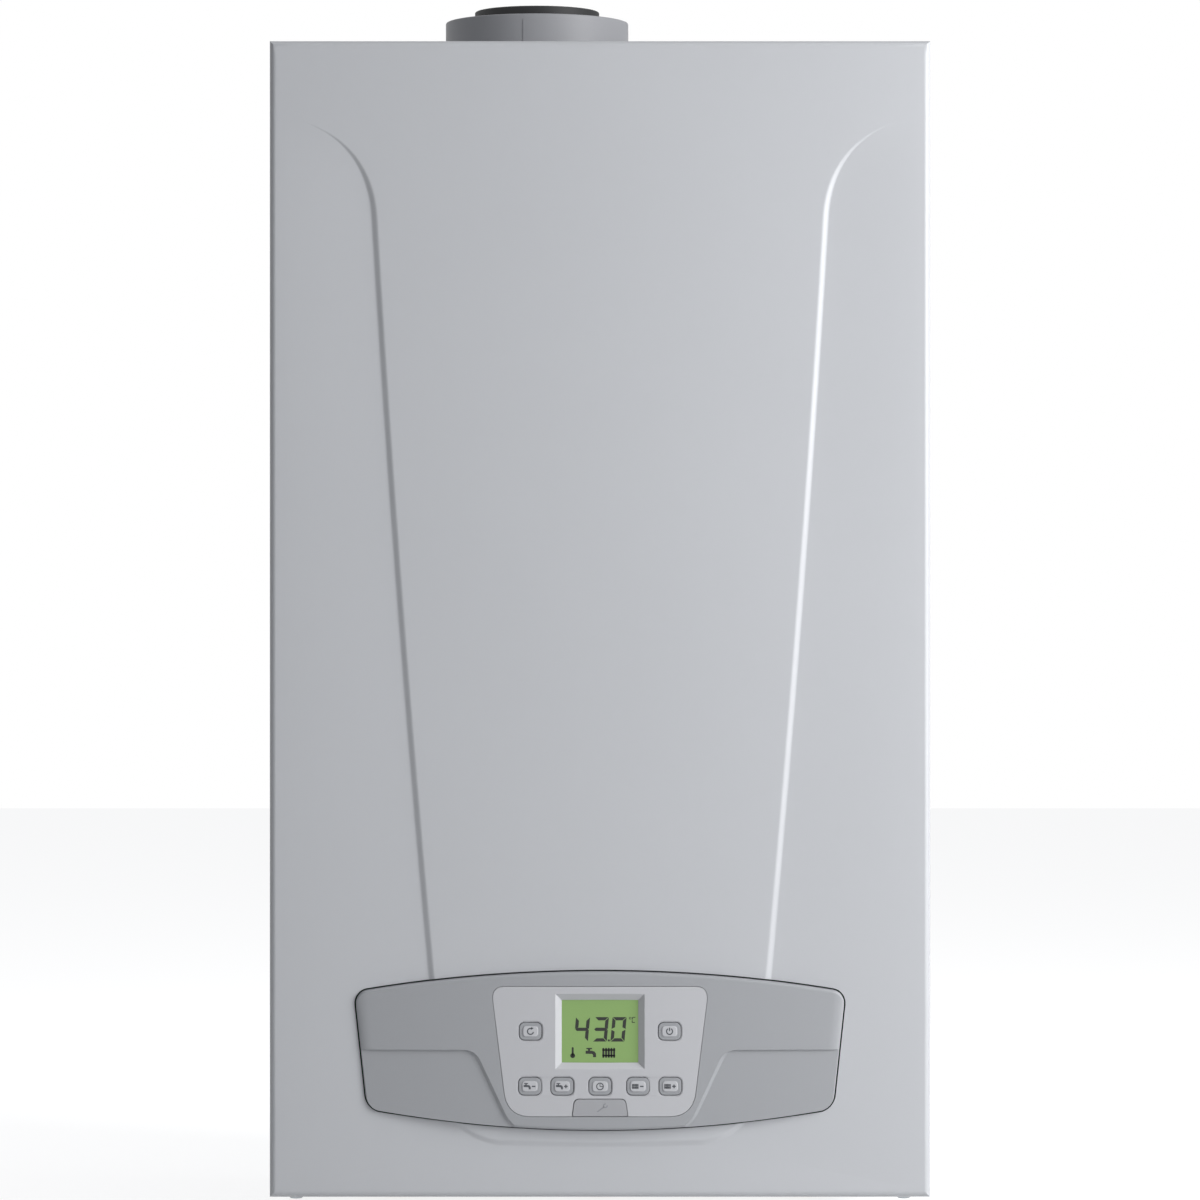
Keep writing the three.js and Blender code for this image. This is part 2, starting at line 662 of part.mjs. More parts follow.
const HANGER = { x: 150, z: HALF_HEIGHT - 28, width: 26, height: 9 };
const LOWER_FIXING = { x: 150, z: CASE_FOOT + 50, radius: 4.5 };
function hangingSlot(side) {
  return prism('y', roundedRect(HANGER.width, HANGER.height, HANGER.height / 2 - 0.1,
    side * HANGER.x, HANGER.z), 5, -CHASSIS_SHEET - 5, 2);
}
const backFlange = -CHASSIS_SHEET - BACK_FLANGE;
const BACK_HIGH = HALF_HEIGHT - CHASSIS_SHEET - SEAT;
piece('back_panel', cut(
  box(-INNER_HALF, INNER_HALF, -CHASSIS_SHEET, 0, -HALF_HEIGHT, HALF_HEIGHT),
  hangingSlot(-1),
  hangingSlot(1),
  ...[-1, 1].map((side) => (
    rod('y', 5, -5, side * LOWER_FIXING.x, LOWER_FIXING.z, LOWER_FIXING.radius, 10))),
).add(cut(
  box(-INNER_HALF, INNER_HALF, backFlange, -CHASSIS_SHEET, -HALF_HEIGHT + SHEET, BACK_HIGH),
  box(-INNER_HALF + CHASSIS_SHEET, INNER_HALF - CHASSIS_SHEET, backFlange - 5, 5,
    -HALF_HEIGHT - 5, HALF_HEIGHT + 5),
)), GALVANISED);

const TRAY_HALF = INNER_HALF - CHASSIS_SHEET - SEAT;
const TRAY_LIP = 12;
const TRAY_HOLES = [
  ...TAP_PIPES.map(({ x, diameter }) => [x, -TAP_DEPTH, diameter / 2 + 3]),
  [DRAIN_X, DRAIN_Y, 13],
  [SAFETY_X, SAFETY_Y, 10],
  [FILLING_X, FILLING_Y, 7.5],
  [GAUGE_X, GAUGE_Y, 20],
];
const ARM_X = EAR_X + EAR_WIDTH + SEAT + 1;
const trayArm = (side) => cut(
  join(
    box(side * ARM_X, side * (ARM_X + 3), -TRAY_DEPTH + 1, -HINGE_DEPTH, TRAY_Z, HINGE_HEIGHT + 5.8),
    rod('x', side * ARM_X, side * (ARM_X + 3), -HINGE_DEPTH, HINGE_HEIGHT, 6, 16),
  ),
  rod('x', side * (ARM_X - 5), side * (ARM_X + 8), -HINGE_DEPTH, HINGE_HEIGHT, HINGE_PIN / 2 + SEAT, 12),
);
piece('bottom_tray', cut(
  join(
    cut(
      box(-TRAY_HALF, TRAY_HALF, -TRAY_DEPTH, PANEL_BACK, TRAY_Z, TRAY_Z + TRAY_LIP),
      box(-TRAY_HALF + CHASSIS_SHEET, TRAY_HALF - CHASSIS_SHEET, -TRAY_DEPTH + CHASSIS_SHEET,
        PANEL_BACK - CHASSIS_SHEET, TRAY_Z + CHASSIS_SHEET, TRAY_Z + TRAY_LIP + 5),
    ),
    trayArm(-1),
    trayArm(1),
  ),
  ...TRAY_HOLES.map(([x, y, radius]) => rod('z', TRAY_Z - 5, TRAY_Z + 5, x, y, 1.06 * radius, 10)),
), GALVANISED);

const GASKET_INSET = SHEET + 2 * SEAT;   // inside the casing's skin
const GASKET_WIDTH = 7;
const GASKET_THICK = 4;
const gasketBox = (inset, front, back, foot) => box(-HALF_WIDTH + inset, HALF_WIDTH - inset, front, back,
  foot, HALF_HEIGHT - inset);
// It runs up both sides and across the top, and leaves the foot free for the control box to swing.
piece('casing_gasket', cut(
  gasketBox(GASKET_INSET, PANEL_FRONT - SEAT, PANEL_FRONT - SEAT - GASKET_THICK, TAB_Z + 4),
  gasketBox(GASKET_INSET + GASKET_WIDTH, PANEL_FRONT + 5, PANEL_FRONT - 10, TAB_Z - 4),
), BLACK_RUBBER);

// ---------------------------------------------------------------- control box and its face

const panel = new THREE.Group();
boiler.add(panel);

const FASCIA_BACK = -BOX_FRONT - SEAT;
const KEYPAD_CORNERS = [6.5, 13.5];      // corner radii of the keypad at its top and bottom

/** A keystone outline with round corners: wide at the top or bottom, about the middle of the face. */
function keystone(top, bottom, halfTop, halfBottom, topCorner, bottomCorner) {
  const shape = new THREE.Shape();
  const slope = (halfTop - halfBottom) / (top - bottom);
  const side = (z) => halfTop - slope * (top - z);
  shape.moveTo(side(bottom + bottomCorner), bottom + bottomCorner);
  shape.lineTo(side(top - topCorner), top - topCorner);
  shape.quadraticCurveTo(halfTop, top, halfTop - topCorner, top);
  shape.lineTo(-halfTop + topCorner, top);
  shape.quadraticCurveTo(-halfTop, top, -side(top - topCorner), top - topCorner);
  shape.lineTo(-side(bottom + bottomCorner), bottom + bottomCorner);
  shape.quadraticCurveTo(-halfBottom, bottom, -halfBottom + bottomCorner, bottom);
  shape.lineTo(halfBottom - bottomCorner, bottom);
  shape.quadraticCurveTo(halfBottom, bottom, side(bottom + bottomCorner), bottom + bottomCorner);
  return shape;
}

function keypadShape(grow) {
  return keystone(KEYPAD_TOP + grow, KEYPAD_BOTTOM - grow, KEYPAD_HALF_TOP + grow,
    KEYPAD_HALF_BOTTOM + grow, KEYPAD_CORNERS[0] + grow, KEYPAD_CORNERS[1] + grow);
}

function capShape(grow) {
  return keystone(KEYPAD_BOTTOM + CAP_HEIGHT + grow, KEYPAD_BOTTOM - grow, CAP_HALF_TOP + grow,
    CAP_HALF_BOTTOM + grow, 3, 1.5);
}

// The keys: one each side of the display and five in a row, with what each is for.
const KEY_SIDE_Z = KEYPAD_TOP - 27;
const KEY_ROW_Z = KEYPAD_TOP - 60.2;
const KEYS = [
  { name: 'button_reset', x: -42, z: KEY_SIDE_Z },
  { name: 'button_power', x: 42, z: KEY_SIDE_Z },
  { name: 'button_tap_minus', x: -42.4, z: KEY_ROW_Z },
  { name: 'button_tap_plus', x: -22.9, z: KEY_ROW_Z },
  { name: 'button_program', x: 0, z: KEY_ROW_Z },
  { name: 'button_radiator_minus', x: 22.9, z: KEY_ROW_Z },
  { name: 'button_radiator_plus', x: 42.4, z: KEY_ROW_Z },
];

function keyShape({ x, z }, grow) {
  return roundedRect(BUTTON_WIDTH + 2 * grow, BUTTON_HEIGHT + 2 * grow, BUTTON_CORNER + grow, x, z);
}

// The wings' lower halves lie a step lower: below a line, outward of a slope down to the cap.
const WING_CORNER_X = 77.4;
const WING_FOOT_X = 58;
function wing(side) {
  const shape = polygon([
    [side * WING_CORNER_X, WING_LINE], [side * (FASCIA_HALF + 20), WING_LINE],
    [side * (FASCIA_HALF + 20), FASCIA_BOTTOM - 20], [side * (WING_FOOT_X - 5), FASCIA_BOTTOM - 20],
    [side * WING_FOOT_X, FASCIA_BOTTOM + 6],
  ]);
  return crownLayer(-5, WING_STEP, FASCIA_HALF + 20, FASCIA_BOTTOM - 25, WING_LINE + 5)
    .intersect(prism('y', shape, CROWN - 10, FASCIA_BACK));
}

// Pockets in the fascia's back leave ribs between them.
const RIB = 2.5;
const POCKET_TOP = FASCIA_SIDE_Z - 9;
const POCKET_BOTTOM = FASCIA_BOTTOM + FASCIA_BOW + 9;
const POCKETS_PER_WING = 2;
const POCKET_FROM = KEYPAD_HALF_TOP + RIB + 2;
const POCKET_TO = FASCIA_HALF - 17;
const POCKET_FLOOR = FRONT + FASCIA_CROWN - FASCIA_PROUD + 3.5;
function wingPockets() {
  const width = (POCKET_TO - POCKET_FROM + RIB) / POCKETS_PER_WING - RIB;
  const pockets = [];
  for (const side of [-1, 1]) {
    for (let i = 0; i < POCKETS_PER_WING; i += 1) {
      const near = side * (POCKET_FROM + i * (width + RIB));
      pockets.push(box(near, near + side * width, POCKET_FLOOR, FASCIA_BACK + 2, POCKET_BOTTOM, POCKET_TOP));
    }
  }
  return pockets;
}

const LEDGE_DEPTH = KEYPAD_THICK + SEAT;
const CAP_PLUG = { half: 9, height: 5, depth: 6 };
const CAP_Z = KEYPAD_BOTTOM + CAP_HEIGHT / 2;
const LEDGE_BOTTOM = KEYPAD_BOTTOM + CAP_HEIGHT + RUN;
piece('fascia', cut(
  fasciaBody(FASCIA_BACK),
  wing(-1),
  wing(1),
  prism('y', keypadShape(SEAT), CROWN - 5, CROWN + LEDGE_DEPTH, 4),
  crownLayer(-5, LEDGE_DEPTH, KEYPAD_HALF_TOP + 8, KEYPAD_BOTTOM - 5, KEYPAD_TOP + 5)
    .intersect(prism('y', keypadShape(SEAT), CROWN - 5, FASCIA_BACK, 4)),
  prism('y', keystone(KEYPAD_TOP - KEYPAD_LEDGE, LEDGE_BOTTOM, KEYPAD_HALF_TOP - KEYPAD_LEDGE,
    KEYPAD_HALF_BOTTOM - KEYPAD_LEDGE + 1, 3, 3), CROWN - 5, FASCIA_BACK + 5, 2),
  box(-CAP_PLUG.half - RUN, CAP_PLUG.half + RUN, CROWN, FASCIA_BACK + 5,
    CAP_Z - CAP_PLUG.height / 2 - RUN, CAP_Z + CAP_PLUG.height / 2 + RUN),
  ...wingPockets(),
), FASCIA_GREY, panel);

// The keypad follows the crown; the display looks out through a window with sloping sides.
const windowRing = (grow, y) => [
  [-DISPLAY_HALF - grow, y, DISPLAY_BOTTOM - grow], [DISPLAY_HALF + grow, y, DISPLAY_BOTTOM - grow],
  [DISPLAY_HALF + grow, y, DISPLAY_TOP + grow], [-DISPLAY_HALF - grow, y, DISPLAY_TOP + grow],
];
piece('keypad_plate', cut(
  crownLayer(0, KEYPAD_THICK, KEYPAD_HALF_TOP + 8, KEYPAD_BOTTOM - 5, KEYPAD_TOP + 5)
    .intersect(prism('y', keypadShape(0), CROWN - 5, FASCIA_BACK, 4)),
  loft([
    windowRing(-DISPLAY_BEVEL * 0.15, CROWN + KEYPAD_THICK + 0.5),
    windowRing(DISPLAY_BEVEL * 1.15, CROWN - 0.5),
  ]),
  prism('y', capShape(RUN), CROWN - 5, FASCIA_BACK, 3),
  ...KEYS.map((key) => prism('y', keyShape(key, RUN), CROWN - 5, FASCIA_BACK, 2)),
), KEYPAD_GREY, panel);

// Each key is a dished cap with a collar behind the plate and a stem down to its switch.
const BOARD_FRONT = -BOX_FRONT + 24;
const SWITCH_TALL = 4;
const STEM_END = BOARD_FRONT - SWITCH_TALL - BUTTON_TRAVEL - SEAT;
const DISH_RADIUS = (BUTTON_WIDTH / 2) ** 2 / (2 * BUTTON_DISH) + BUTTON_DISH / 2;
for (const key of KEYS) {
  const face = crownAt(key.x) - 0.2;
  const collar = crownAt(key.x) + KEYPAD_THICK + RUN;
  piece(key.name, cut(
    join(
      prism('y', keyShape(key, 0), face, collar + 1, 2),
      box(key.x - BUTTON_WIDTH / 2 - 1, key.x + BUTTON_WIDTH / 2 + 1, collar, collar + 1.5,
        key.z - BUTTON_HEIGHT / 2 - 1, key.z + BUTTON_HEIGHT / 2 + 1),
      box(key.x - 2, key.x + 2, collar, STEM_END, key.z - 2, key.z + 2),
    ),
    rod('z', key.z - BUTTON_HEIGHT, key.z + BUTTON_HEIGHT, key.x, face + BUTTON_DISH - DISH_RADIUS,
      DISH_RADIUS, 24).intersect(prism('y', keyShape(key, -1), face - 2, face + 2, 2)),
  ), BUTTON_GREY, panel);
}

piece('service_cap', join(
  prism('y', capShape(0), CROWN, CROWN + KEYPAD_THICK - 0.5, 3),
  box(-CAP_PLUG.half, CAP_PLUG.half, CROWN + 1, CROWN + KEYPAD_THICK + CAP_PLUG.depth,
    CAP_Z - CAP_PLUG.height / 2, CAP_Z + CAP_PLUG.height / 2),
), FASCIA_GREY, panel);

// Liquid crystal module: glass in front, housing behind, four feet on the board.
const GLASS_FRONT = CROWN + KEYPAD_THICK + SEAT;
piece('display_module', join(
  box(-DISPLAY_HALF - 3, DISPLAY_HALF + 3, GLASS_FRONT, GLASS_FRONT + 3, DISPLAY_BOTTOM - 1.2,
    DISPLAY_TOP + 1.2),
  box(-DISPLAY_HALF - 2, DISPLAY_HALF + 2, GLASS_FRONT + 3, GLASS_FRONT + 9, DISPLAY_BOTTOM + 1, DISPLAY_TOP),
  ...[-1, 1].flatMap((side) => [DISPLAY_BOTTOM + 5, DISPLAY_TOP - 5].map((z) => (
    rod('y', GLASS_FRONT + 8, BOARD_FRONT - SEAT, side * (DISPLAY_HALF - 3), z, 1.6, 8)))),
), LCD_GREEN, panel);

// The board carries a switch behind each key, relays and connectors.
const BOARD_THICK = 1.6;
const BOARD_HALF = BOX_HALF - 12;
const switchAt = ({ x, z }) => box(x - 3, x + 3, BOARD_FRONT - SWITCH_TALL, BOARD_FRONT + 0.1, z - 3, z + 3);
const onBoard = (x, z, width, height, tall) => (
  box(x - width / 2, x + width / 2, BOARD_FRONT + BOARD_THICK - 0.1, BOARD_FRONT + BOARD_THICK + tall,
    z - height / 2, z + height / 2));
piece('circuit_board', join(
  box(-BOARD_HALF, BOARD_HALF, BOARD_FRONT, BOARD_FRONT + BOARD_THICK, BOX_BOTTOM + 12, BOX_TOP - 12),
  ...KEYS.map(switchAt),
  onBoard(-118, BOX_TOP - 45, 42, 36, 26),
  ...[-60, -20, 20].map((x) => onBoard(x, BOX_BOTTOM + 32, 28, 12, 16)),
  ...[70, 110].map((x) => onBoard(x, BOX_TOP - 35, 22, 16, 18)),
  onBoard(100, BOX_BOTTOM + 32, 60, 10, 12),
), BOARD_GREEN, panel);

// The control box is a tray that the fascia closes, with bosses for the board and two hinge ears.
const BOSS_INSET = 18;
const BOSS_FOOT = -BOX_BACK - BOX_WALL + 0.5;
const boardBosses = [-1, 1].flatMap((side) => [BOX_BOTTOM + BOSS_INSET, BOX_TOP - BOSS_INSET].map((z) => (
  rod('y', BOSS_FOOT, BOARD_FRONT + BOARD_THICK + SEAT, side * (BOARD_HALF - 6), z, 3.5, 8))));
const hingeEar = (side) => {
  const [near, far] = [side * EAR_X, side * (EAR_X + EAR_WIDTH)];
  const ear = join(
    rod('x', near, far, -HINGE_DEPTH, HINGE_HEIGHT, 7, 16),
    box(near, far, -HINGE_DEPTH - 7, -HINGE_DEPTH + 5, HINGE_HEIGHT, BOX_BOTTOM + 1),
  );
  return cut(ear, rod('x', near - side, far + side, -HINGE_DEPTH, HINGE_HEIGHT, HINGE_PIN / 2 + SEAT, 12));
};
const GLAND = { x: -130, z: BOX_TOP - 60, neck: 9, cable: 5 };
piece('control_box', cut(
  join(
    cut(
      box(-BOX_HALF, BOX_HALF, -BOX_FRONT, -BOX_BACK, BOX_BOTTOM, BOX_TOP),
      box(-BOX_HALF + BOX_WALL, BOX_HALF - BOX_WALL, -BOX_FRONT - 5, -BOX_BACK - BOX_WALL,
        BOX_BOTTOM + BOX_WALL, BOX_TOP - BOX_WALL),
    ),
    ...boardBosses,
    hingeEar(-1),
    hingeEar(1),
  ),
  rod('y', -BOX_BACK + 5, -BOX_BACK - 8, GLAND.x, GLAND.z, GLAND.neck + SEAT, 16),
), GREY_COMPOSITE, panel);

piece('cable_gland', cut(
  turned('y', [
    [0, -BOX_BACK - BOX_WALL - 4], [GLAND.neck + 3, -BOX_BACK - BOX_WALL - 4],
    [GLAND.neck + 3, -BOX_BACK - BOX_WALL - SEAT], [GLAND.neck, -BOX_BACK - BOX_WALL - SEAT],
    [GLAND.neck, -BOX_BACK + SEAT], [GLAND.neck + 3, -BOX_BACK + SEAT],
    [GLAND.neck + 3, -BOX_BACK + 3], [GLAND.neck - 2, -BOX_BACK + 8], [0, -BOX_BACK + 8],
  ], GLAND.x, GLAND.z, 12),
  rod('y', -BOX_BACK + 10, -BOX_BACK - 10, GLAND.x, GLAND.z, GLAND.cable, 12),
), BLACK_RUBBER, panel);

// The pins stand in two arms that reach forward from the bottom tray.
for (const [side, name] of [[-1, 'left'], [1, 'right']]) {
  const inner = side * (EAR_X - 2);
  piece(`hinge_pin_${name}`, rod('x', inner, inner + side * PIN_REACH, -HINGE_DEPTH, HINGE_HEIGHT,
    HINGE_PIN / 2, 12), ZINC);
}

// ---------------------------------------------------------------- flue

const FLUE_RADIUS = FLUE_BORE / 2;
const COLLAR_TOP = HALF_HEIGHT + COLLAR_HEIGHT;
const COLLAR_BASE = HALF_HEIGHT + SEAT;
const COLLAR_WALL = COLLAR_DIAMETER / 2;
const SPIGOT_END = HALF_HEIGHT - 12;
piece('flue_collar', turned('z', [
  [AIR_BORE / 2, SPIGOT_END], [AIR_BORE / 2 + 1.7, SPIGOT_END], [AIR_BORE / 2 + 1.7, COLLAR_BASE],
  [COLLAR_WALL, COLLAR_BASE], [COLLAR_WALL, COLLAR_TOP - 1], [COLLAR_WALL - 1, COLLAR_TOP],
  [AIR_BORE / 2, COLLAR_TOP], [AIR_BORE / 2, SPIGOT_END],
], FLUE_X, -FLUE_DEPTH, 28), COLLAR_GREY);

const SOCKET_TOP = HALF_HEIGHT + SOCKET_RISE;
const SOCKET_FOOT = HALF_HEIGHT - 12;
const SOCKET_BORE = FLUE_RADIUS + SEAT;
const SOCKET_NECK = SOCKET_BORE + 3;
const WEB_REACH = AIR_BORE / 2 - 2 * SEAT;
const socketWeb = (turn) => {
  const web = new THREE.BoxGeometry(WEB_REACH - SOCKET_NECK + 1, 3, 10);
  web.translate((WEB_REACH + SOCKET_NECK - 1) / 2, 0, SOCKET_FOOT + 7);
  web.rotateZ(turn);
  web.translate(FLUE_X, -FLUE_DEPTH, 0);
  return solid(web);
};
piece('flue_socket', join(
  turned('z', [
    [SOCKET_BORE, SOCKET_FOOT], [SOCKET_NECK, SOCKET_FOOT], [SOCKET_NECK, SOCKET_FOOT + 14],
    [SOCKET_DIAMETER / 2, SOCKET_FOOT + 18], [SOCKET_DIAMETER / 2, SOCKET_TOP],
    [SOCKET_BORE, SOCKET_TOP], [SOCKET_BORE, SOCKET_FOOT],
  ], FLUE_X, -FLUE_DEPTH, 28),
  ...[0, 1, 2].map((i) => socketWeb(2 * Math.PI * i / 3 + Math.PI / 6)),
), BLACK_PLASTIC);

const DRUM_RADIUS = DRUM_DIAMETER / 2;
const FLUE_STUB_TOP = DRUM_Z + DRUM_RADIUS + 12;
const FLUE_STUB_FLOOR = FLUE_STUB_TOP - 14;
piece('flue_pipe', tube('z', FLUE_STUB_FLOOR + SEAT, HALF_HEIGHT + 2, FLUE_X, -FLUE_DEPTH,
  FLUE_RADIUS, FLUE_RADIUS - FLUE_WALL, 16), STAINLESS);

// ---------------------------------------------------------------- heat exchanger and burner

/** Height of the drum's skin above or below its middle, at a place across. */
function drumReach(x) {
  return Math.sqrt(DRUM_RADIUS ** 2 - (x - DRUM_X) ** 2);
}

const WATER_Y = -110;
const WATER_Z = DRUM_Z - 55;
const WATER_RADIUS = 9;
const WATER_REACH = drumReach(DRUM_X + (DRUM_Z - WATER_Z));
const RETURN_STUB_X = DRUM_X + WATER_REACH + 18;
const FLOW_STUB_X = DRUM_X - WATER_REACH - 18;
const VENT_X = DRUM_X - 63;
const VENT_FOOT = DRUM_Z + drumReach(VENT_X) + 20;
const TRAP_X = -60;
const TRAP_Y = -172;
const DRAIN_END = DRUM_Z - DRUM_RADIUS - 15;
const BEADS = 2;
const BEAD_PITCH = (DRUM_FRONT - DRUM_BACK - 30) / BEADS;
const beadAt = (y) => [
  [DRUM_RADIUS, y + 9], [DRUM_RADIUS - BEAD_DEPTH, y + 4], [DRUM_RADIUS - BEAD_DEPTH, y - 4],
  [DRUM_RADIUS, y - 9],
];
const beads = [];
for (let i = 0; i < BEADS; i += 1) {
  beads.push(...beadAt(-DRUM_BACK - 12 - BEAD_PITCH * (i + 0.5)));
}
piece('heat_exchanger', cut(
  join(
    turned('y', [
      [0, -DRUM_BACK], [DRUM_RADIUS - 6, -DRUM_BACK], [DRUM_RADIUS, -DRUM_BACK - 6], ...beads,
      [DRUM_RADIUS, -DRUM_FRONT + 7], [DRUM_RADIUS + 4, -DRUM_FRONT + 7], [DRUM_RADIUS + 4, -DRUM_FRONT],
      [0, -DRUM_FRONT],
    ], DRUM_X, DRUM_Z, 20),
    rod('z', DRUM_Z + DRUM_RADIUS - 12, FLUE_STUB_TOP, FLUE_X, -FLUE_DEPTH, FLUE_RADIUS + 4, 16),
    rod('x', DRUM_X, RETURN_STUB_X, WATER_Y, WATER_Z, WATER_RADIUS + 3, 12),
    rod('x', FLOW_STUB_X, DRUM_X, WATER_Y, WATER_Z, WATER_RADIUS + 3, 12),
    rod('z', DRUM_Z, VENT_FOOT, VENT_X, WATER_Y, 8, 10),
    rod('z', DRAIN_END, DRUM_Z, TRAP_X, TRAP_Y, 10, 12),
  ),
  rod('z', FLUE_STUB_FLOOR, FLUE_STUB_TOP + 5, FLUE_X, -FLUE_DEPTH, FLUE_RADIUS + SEAT, 16),
  rod('z', DRUM_Z + DRUM_RADIUS / 2, FLUE_STUB_TOP, FLUE_X, -FLUE_DEPTH, FLUE_RADIUS - FLUE_WALL, 16),
  rod('y', -DRUM_BACK - DRUM_WALL, -DRUM_FRONT - 5, DRUM_X, DRUM_Z, DRUM_RADIUS - BEAD_DEPTH - DRUM_WALL, 20),
), STAINLESS);

// The scroll's outlet looks down at the left of the wheel; the door's duct takes it from there.
const SCROLL_START = 44;
const SCROLL_GROWTH = 18;
const TONGUE_TURN = 235;
const OUTLET_TURN = 540;
const OUTLET_LEFT = FAN_X - SCROLL_START - SCROLL_GROWTH;
const OUTLET_WIDTH = 38;
const OUTLET_Z = FAN_Z - 53;
function scrollShape(inset, foot) {
  const points = [];
  const steps = 16;
  for (let i = 0; i <= steps; i += 1) {
    const share = i / steps;
    const turn = THREE.MathUtils.degToRad(TONGUE_TURN + (OUTLET_TURN - TONGUE_TURN) * share);
    const radius = SCROLL_START + SCROLL_GROWTH * share - inset;
    points.push([FAN_X + radius * Math.cos(turn), FAN_Z + radius * Math.sin(turn)]);
  }
  const right = OUTLET_LEFT + OUTLET_WIDTH - inset;
  return polygon([[right, foot], [right, points[0][1]], ...points, [OUTLET_LEFT + inset, foot]]);
}

const DOOR_BACK = -DRUM_FRONT - SEAT;
const DOOR_FRONT = DOOR_BACK - DOOR_THICK;
const DOOR_RADIUS = DOOR_DIAMETER / 2;
const DUCT_TOP = OUTLET_Z - SEAT;
const duct = polygon([
  [DRUM_X - DUCT_WIDTH / 2, DRUM_Z + 6], [DRUM_X - DUCT_WIDTH / 2, DRUM_Z - 14], [DRUM_X - 12, DRUM_Z - 28],
  [DRUM_X + 12, DRUM_Z - 28], [DRUM_X + DUCT_WIDTH / 2, DRUM_Z - 14],
  [OUTLET_LEFT + OUTLET_WIDTH, DUCT_TOP - 30], [OUTLET_LEFT + OUTLET_WIDTH, DUCT_TOP],
  [OUTLET_LEFT, DUCT_TOP], [OUTLET_LEFT, DUCT_TOP - 26],
]);
const doorBolt = (turn) => rod('y', DOOR_FRONT - 5, DOOR_FRONT + 1,
  DRUM_X + (DOOR_RADIUS - 9) * Math.cos(turn), DRUM_Z + (DOOR_RADIUS - 9) * Math.sin(turn), 5, 6);
piece('burner_door', join(
  turned('y', [
    [0, DOOR_BACK], [DOOR_RADIUS, DOOR_BACK], [DOOR_RADIUS, DOOR_FRONT], [DOOR_RADIUS - 20, DOOR_FRONT],
    [DOOR_RADIUS - 38, DOOR_FRONT - 9], [0, DOOR_FRONT - 9],
  ], DRUM_X, DRUM_Z, 24),
  prism('y', duct, DOOR_FRONT + 1, -DUCT_FRONT),
  ...[0, 1, 2, 3, 4, 5].map((i) => doorBolt(Math.PI * i / 3)),
), ALUMINIUM);

const EYE_RADIUS = WHEEL_EYE / 2;
piece('fan_volute', cut(
  prism('y', scrollShape(0, OUTLET_Z), -FAN_BACK, -FAN_FRONT),
  prism('y', scrollShape(FAN_WALL, OUTLET_Z - 5), -FAN_BACK - FAN_WALL, -FAN_FRONT + FAN_WALL),
  rod('y', -FAN_FRONT - 5, -FAN_FRONT + FAN_WALL + 5, FAN_X, FAN_Z, EYE_RADIUS, 20),
  rod('y', -FAN_BACK + 5, -FAN_BACK - FAN_WALL - 5, FAN_X, FAN_Z, 8, 12),
), ALUMINIUM);

// The wheel's blades lean back against the turn, between a back plate and a front ring.
const WHEEL_RADIUS = WHEEL_DIAMETER / 2;
const WHEEL_BACK = -FAN_BACK - FAN_WALL - 3;
const BLADE_INNER = 21;
const BLADE_SWEEP = THREE.MathUtils.degToRad(38);
function blade(index) {
  const rows = [0, 0.5, 1].map((share) => {
    const radius = THREE.MathUtils.lerp(BLADE_INNER, WHEEL_RADIUS - 0.8, share);
    const turn = 2 * Math.PI * index / WHEEL_BLADES - BLADE_SWEEP * share ** 1.4;
    const half = 0.8 / radius;
    return [-half, half].map((lean) => [radius * Math.cos(turn + lean), radius * Math.sin(turn + lean)]);
  });
  const outline = [...rows.map((row) => row[0]), ...rows.map((row) => row[1]).reverse()];
  const placed = outline.map(([x, z]) => [FAN_X + x, FAN_Z + z]);
  return prism('y', polygon(placed), WHEEL_BACK - 1, WHEEL_BACK - WHEEL_WIDTH + 1);
}
piece('fan_wheel', join(
  rod('y', WHEEL_BACK, WHEEL_BACK - 2, FAN_X, FAN_Z, WHEEL_RADIUS, 20),
  tube('y', WHEEL_BACK - WHEEL_WIDTH + 2, WHEEL_BACK - WHEEL_WIDTH, FAN_X, FAN_Z, WHEEL_RADIUS,
    EYE_RADIUS + 1, 20),
  rod('y', -FAN_BACK - SEAT, WHEEL_BACK - 12, FAN_X, FAN_Z, 6, 10),
  ...Array.from({ length: WHEEL_BLADES }, (_, i) => blade(i)),
), BLACK_PLASTIC);

const MOTOR_FRONT = -FAN_BACK + SEAT;
const MOTOR_RADIUS = MOTOR_DIAMETER / 2;
piece('fan_motor', join(
  turned('y', [
    [0, MOTOR_FRONT], [MOTOR_RADIUS, MOTOR_FRONT], [MOTOR_RADIUS, MOTOR_FRONT + 5],
    [MOTOR_RADIUS - 6, MOTOR_FRONT + 6], [MOTOR_RADIUS - 6, MOTOR_FRONT + MOTOR_LENGTH - 5],
    [MOTOR_RADIUS - 12, MOTOR_FRONT + MOTOR_LENGTH], [0, MOTOR_FRONT + MOTOR_LENGTH],
  ], FAN_X, FAN_Z, 20),
  box(FAN_X + MOTOR_RADIUS - 12, FAN_X + MOTOR_RADIUS + 6, MOTOR_FRONT + 10, MOTOR_FRONT + 30,
    FAN_Z - 12, FAN_Z + 12),
), BLACK_PLASTIC);

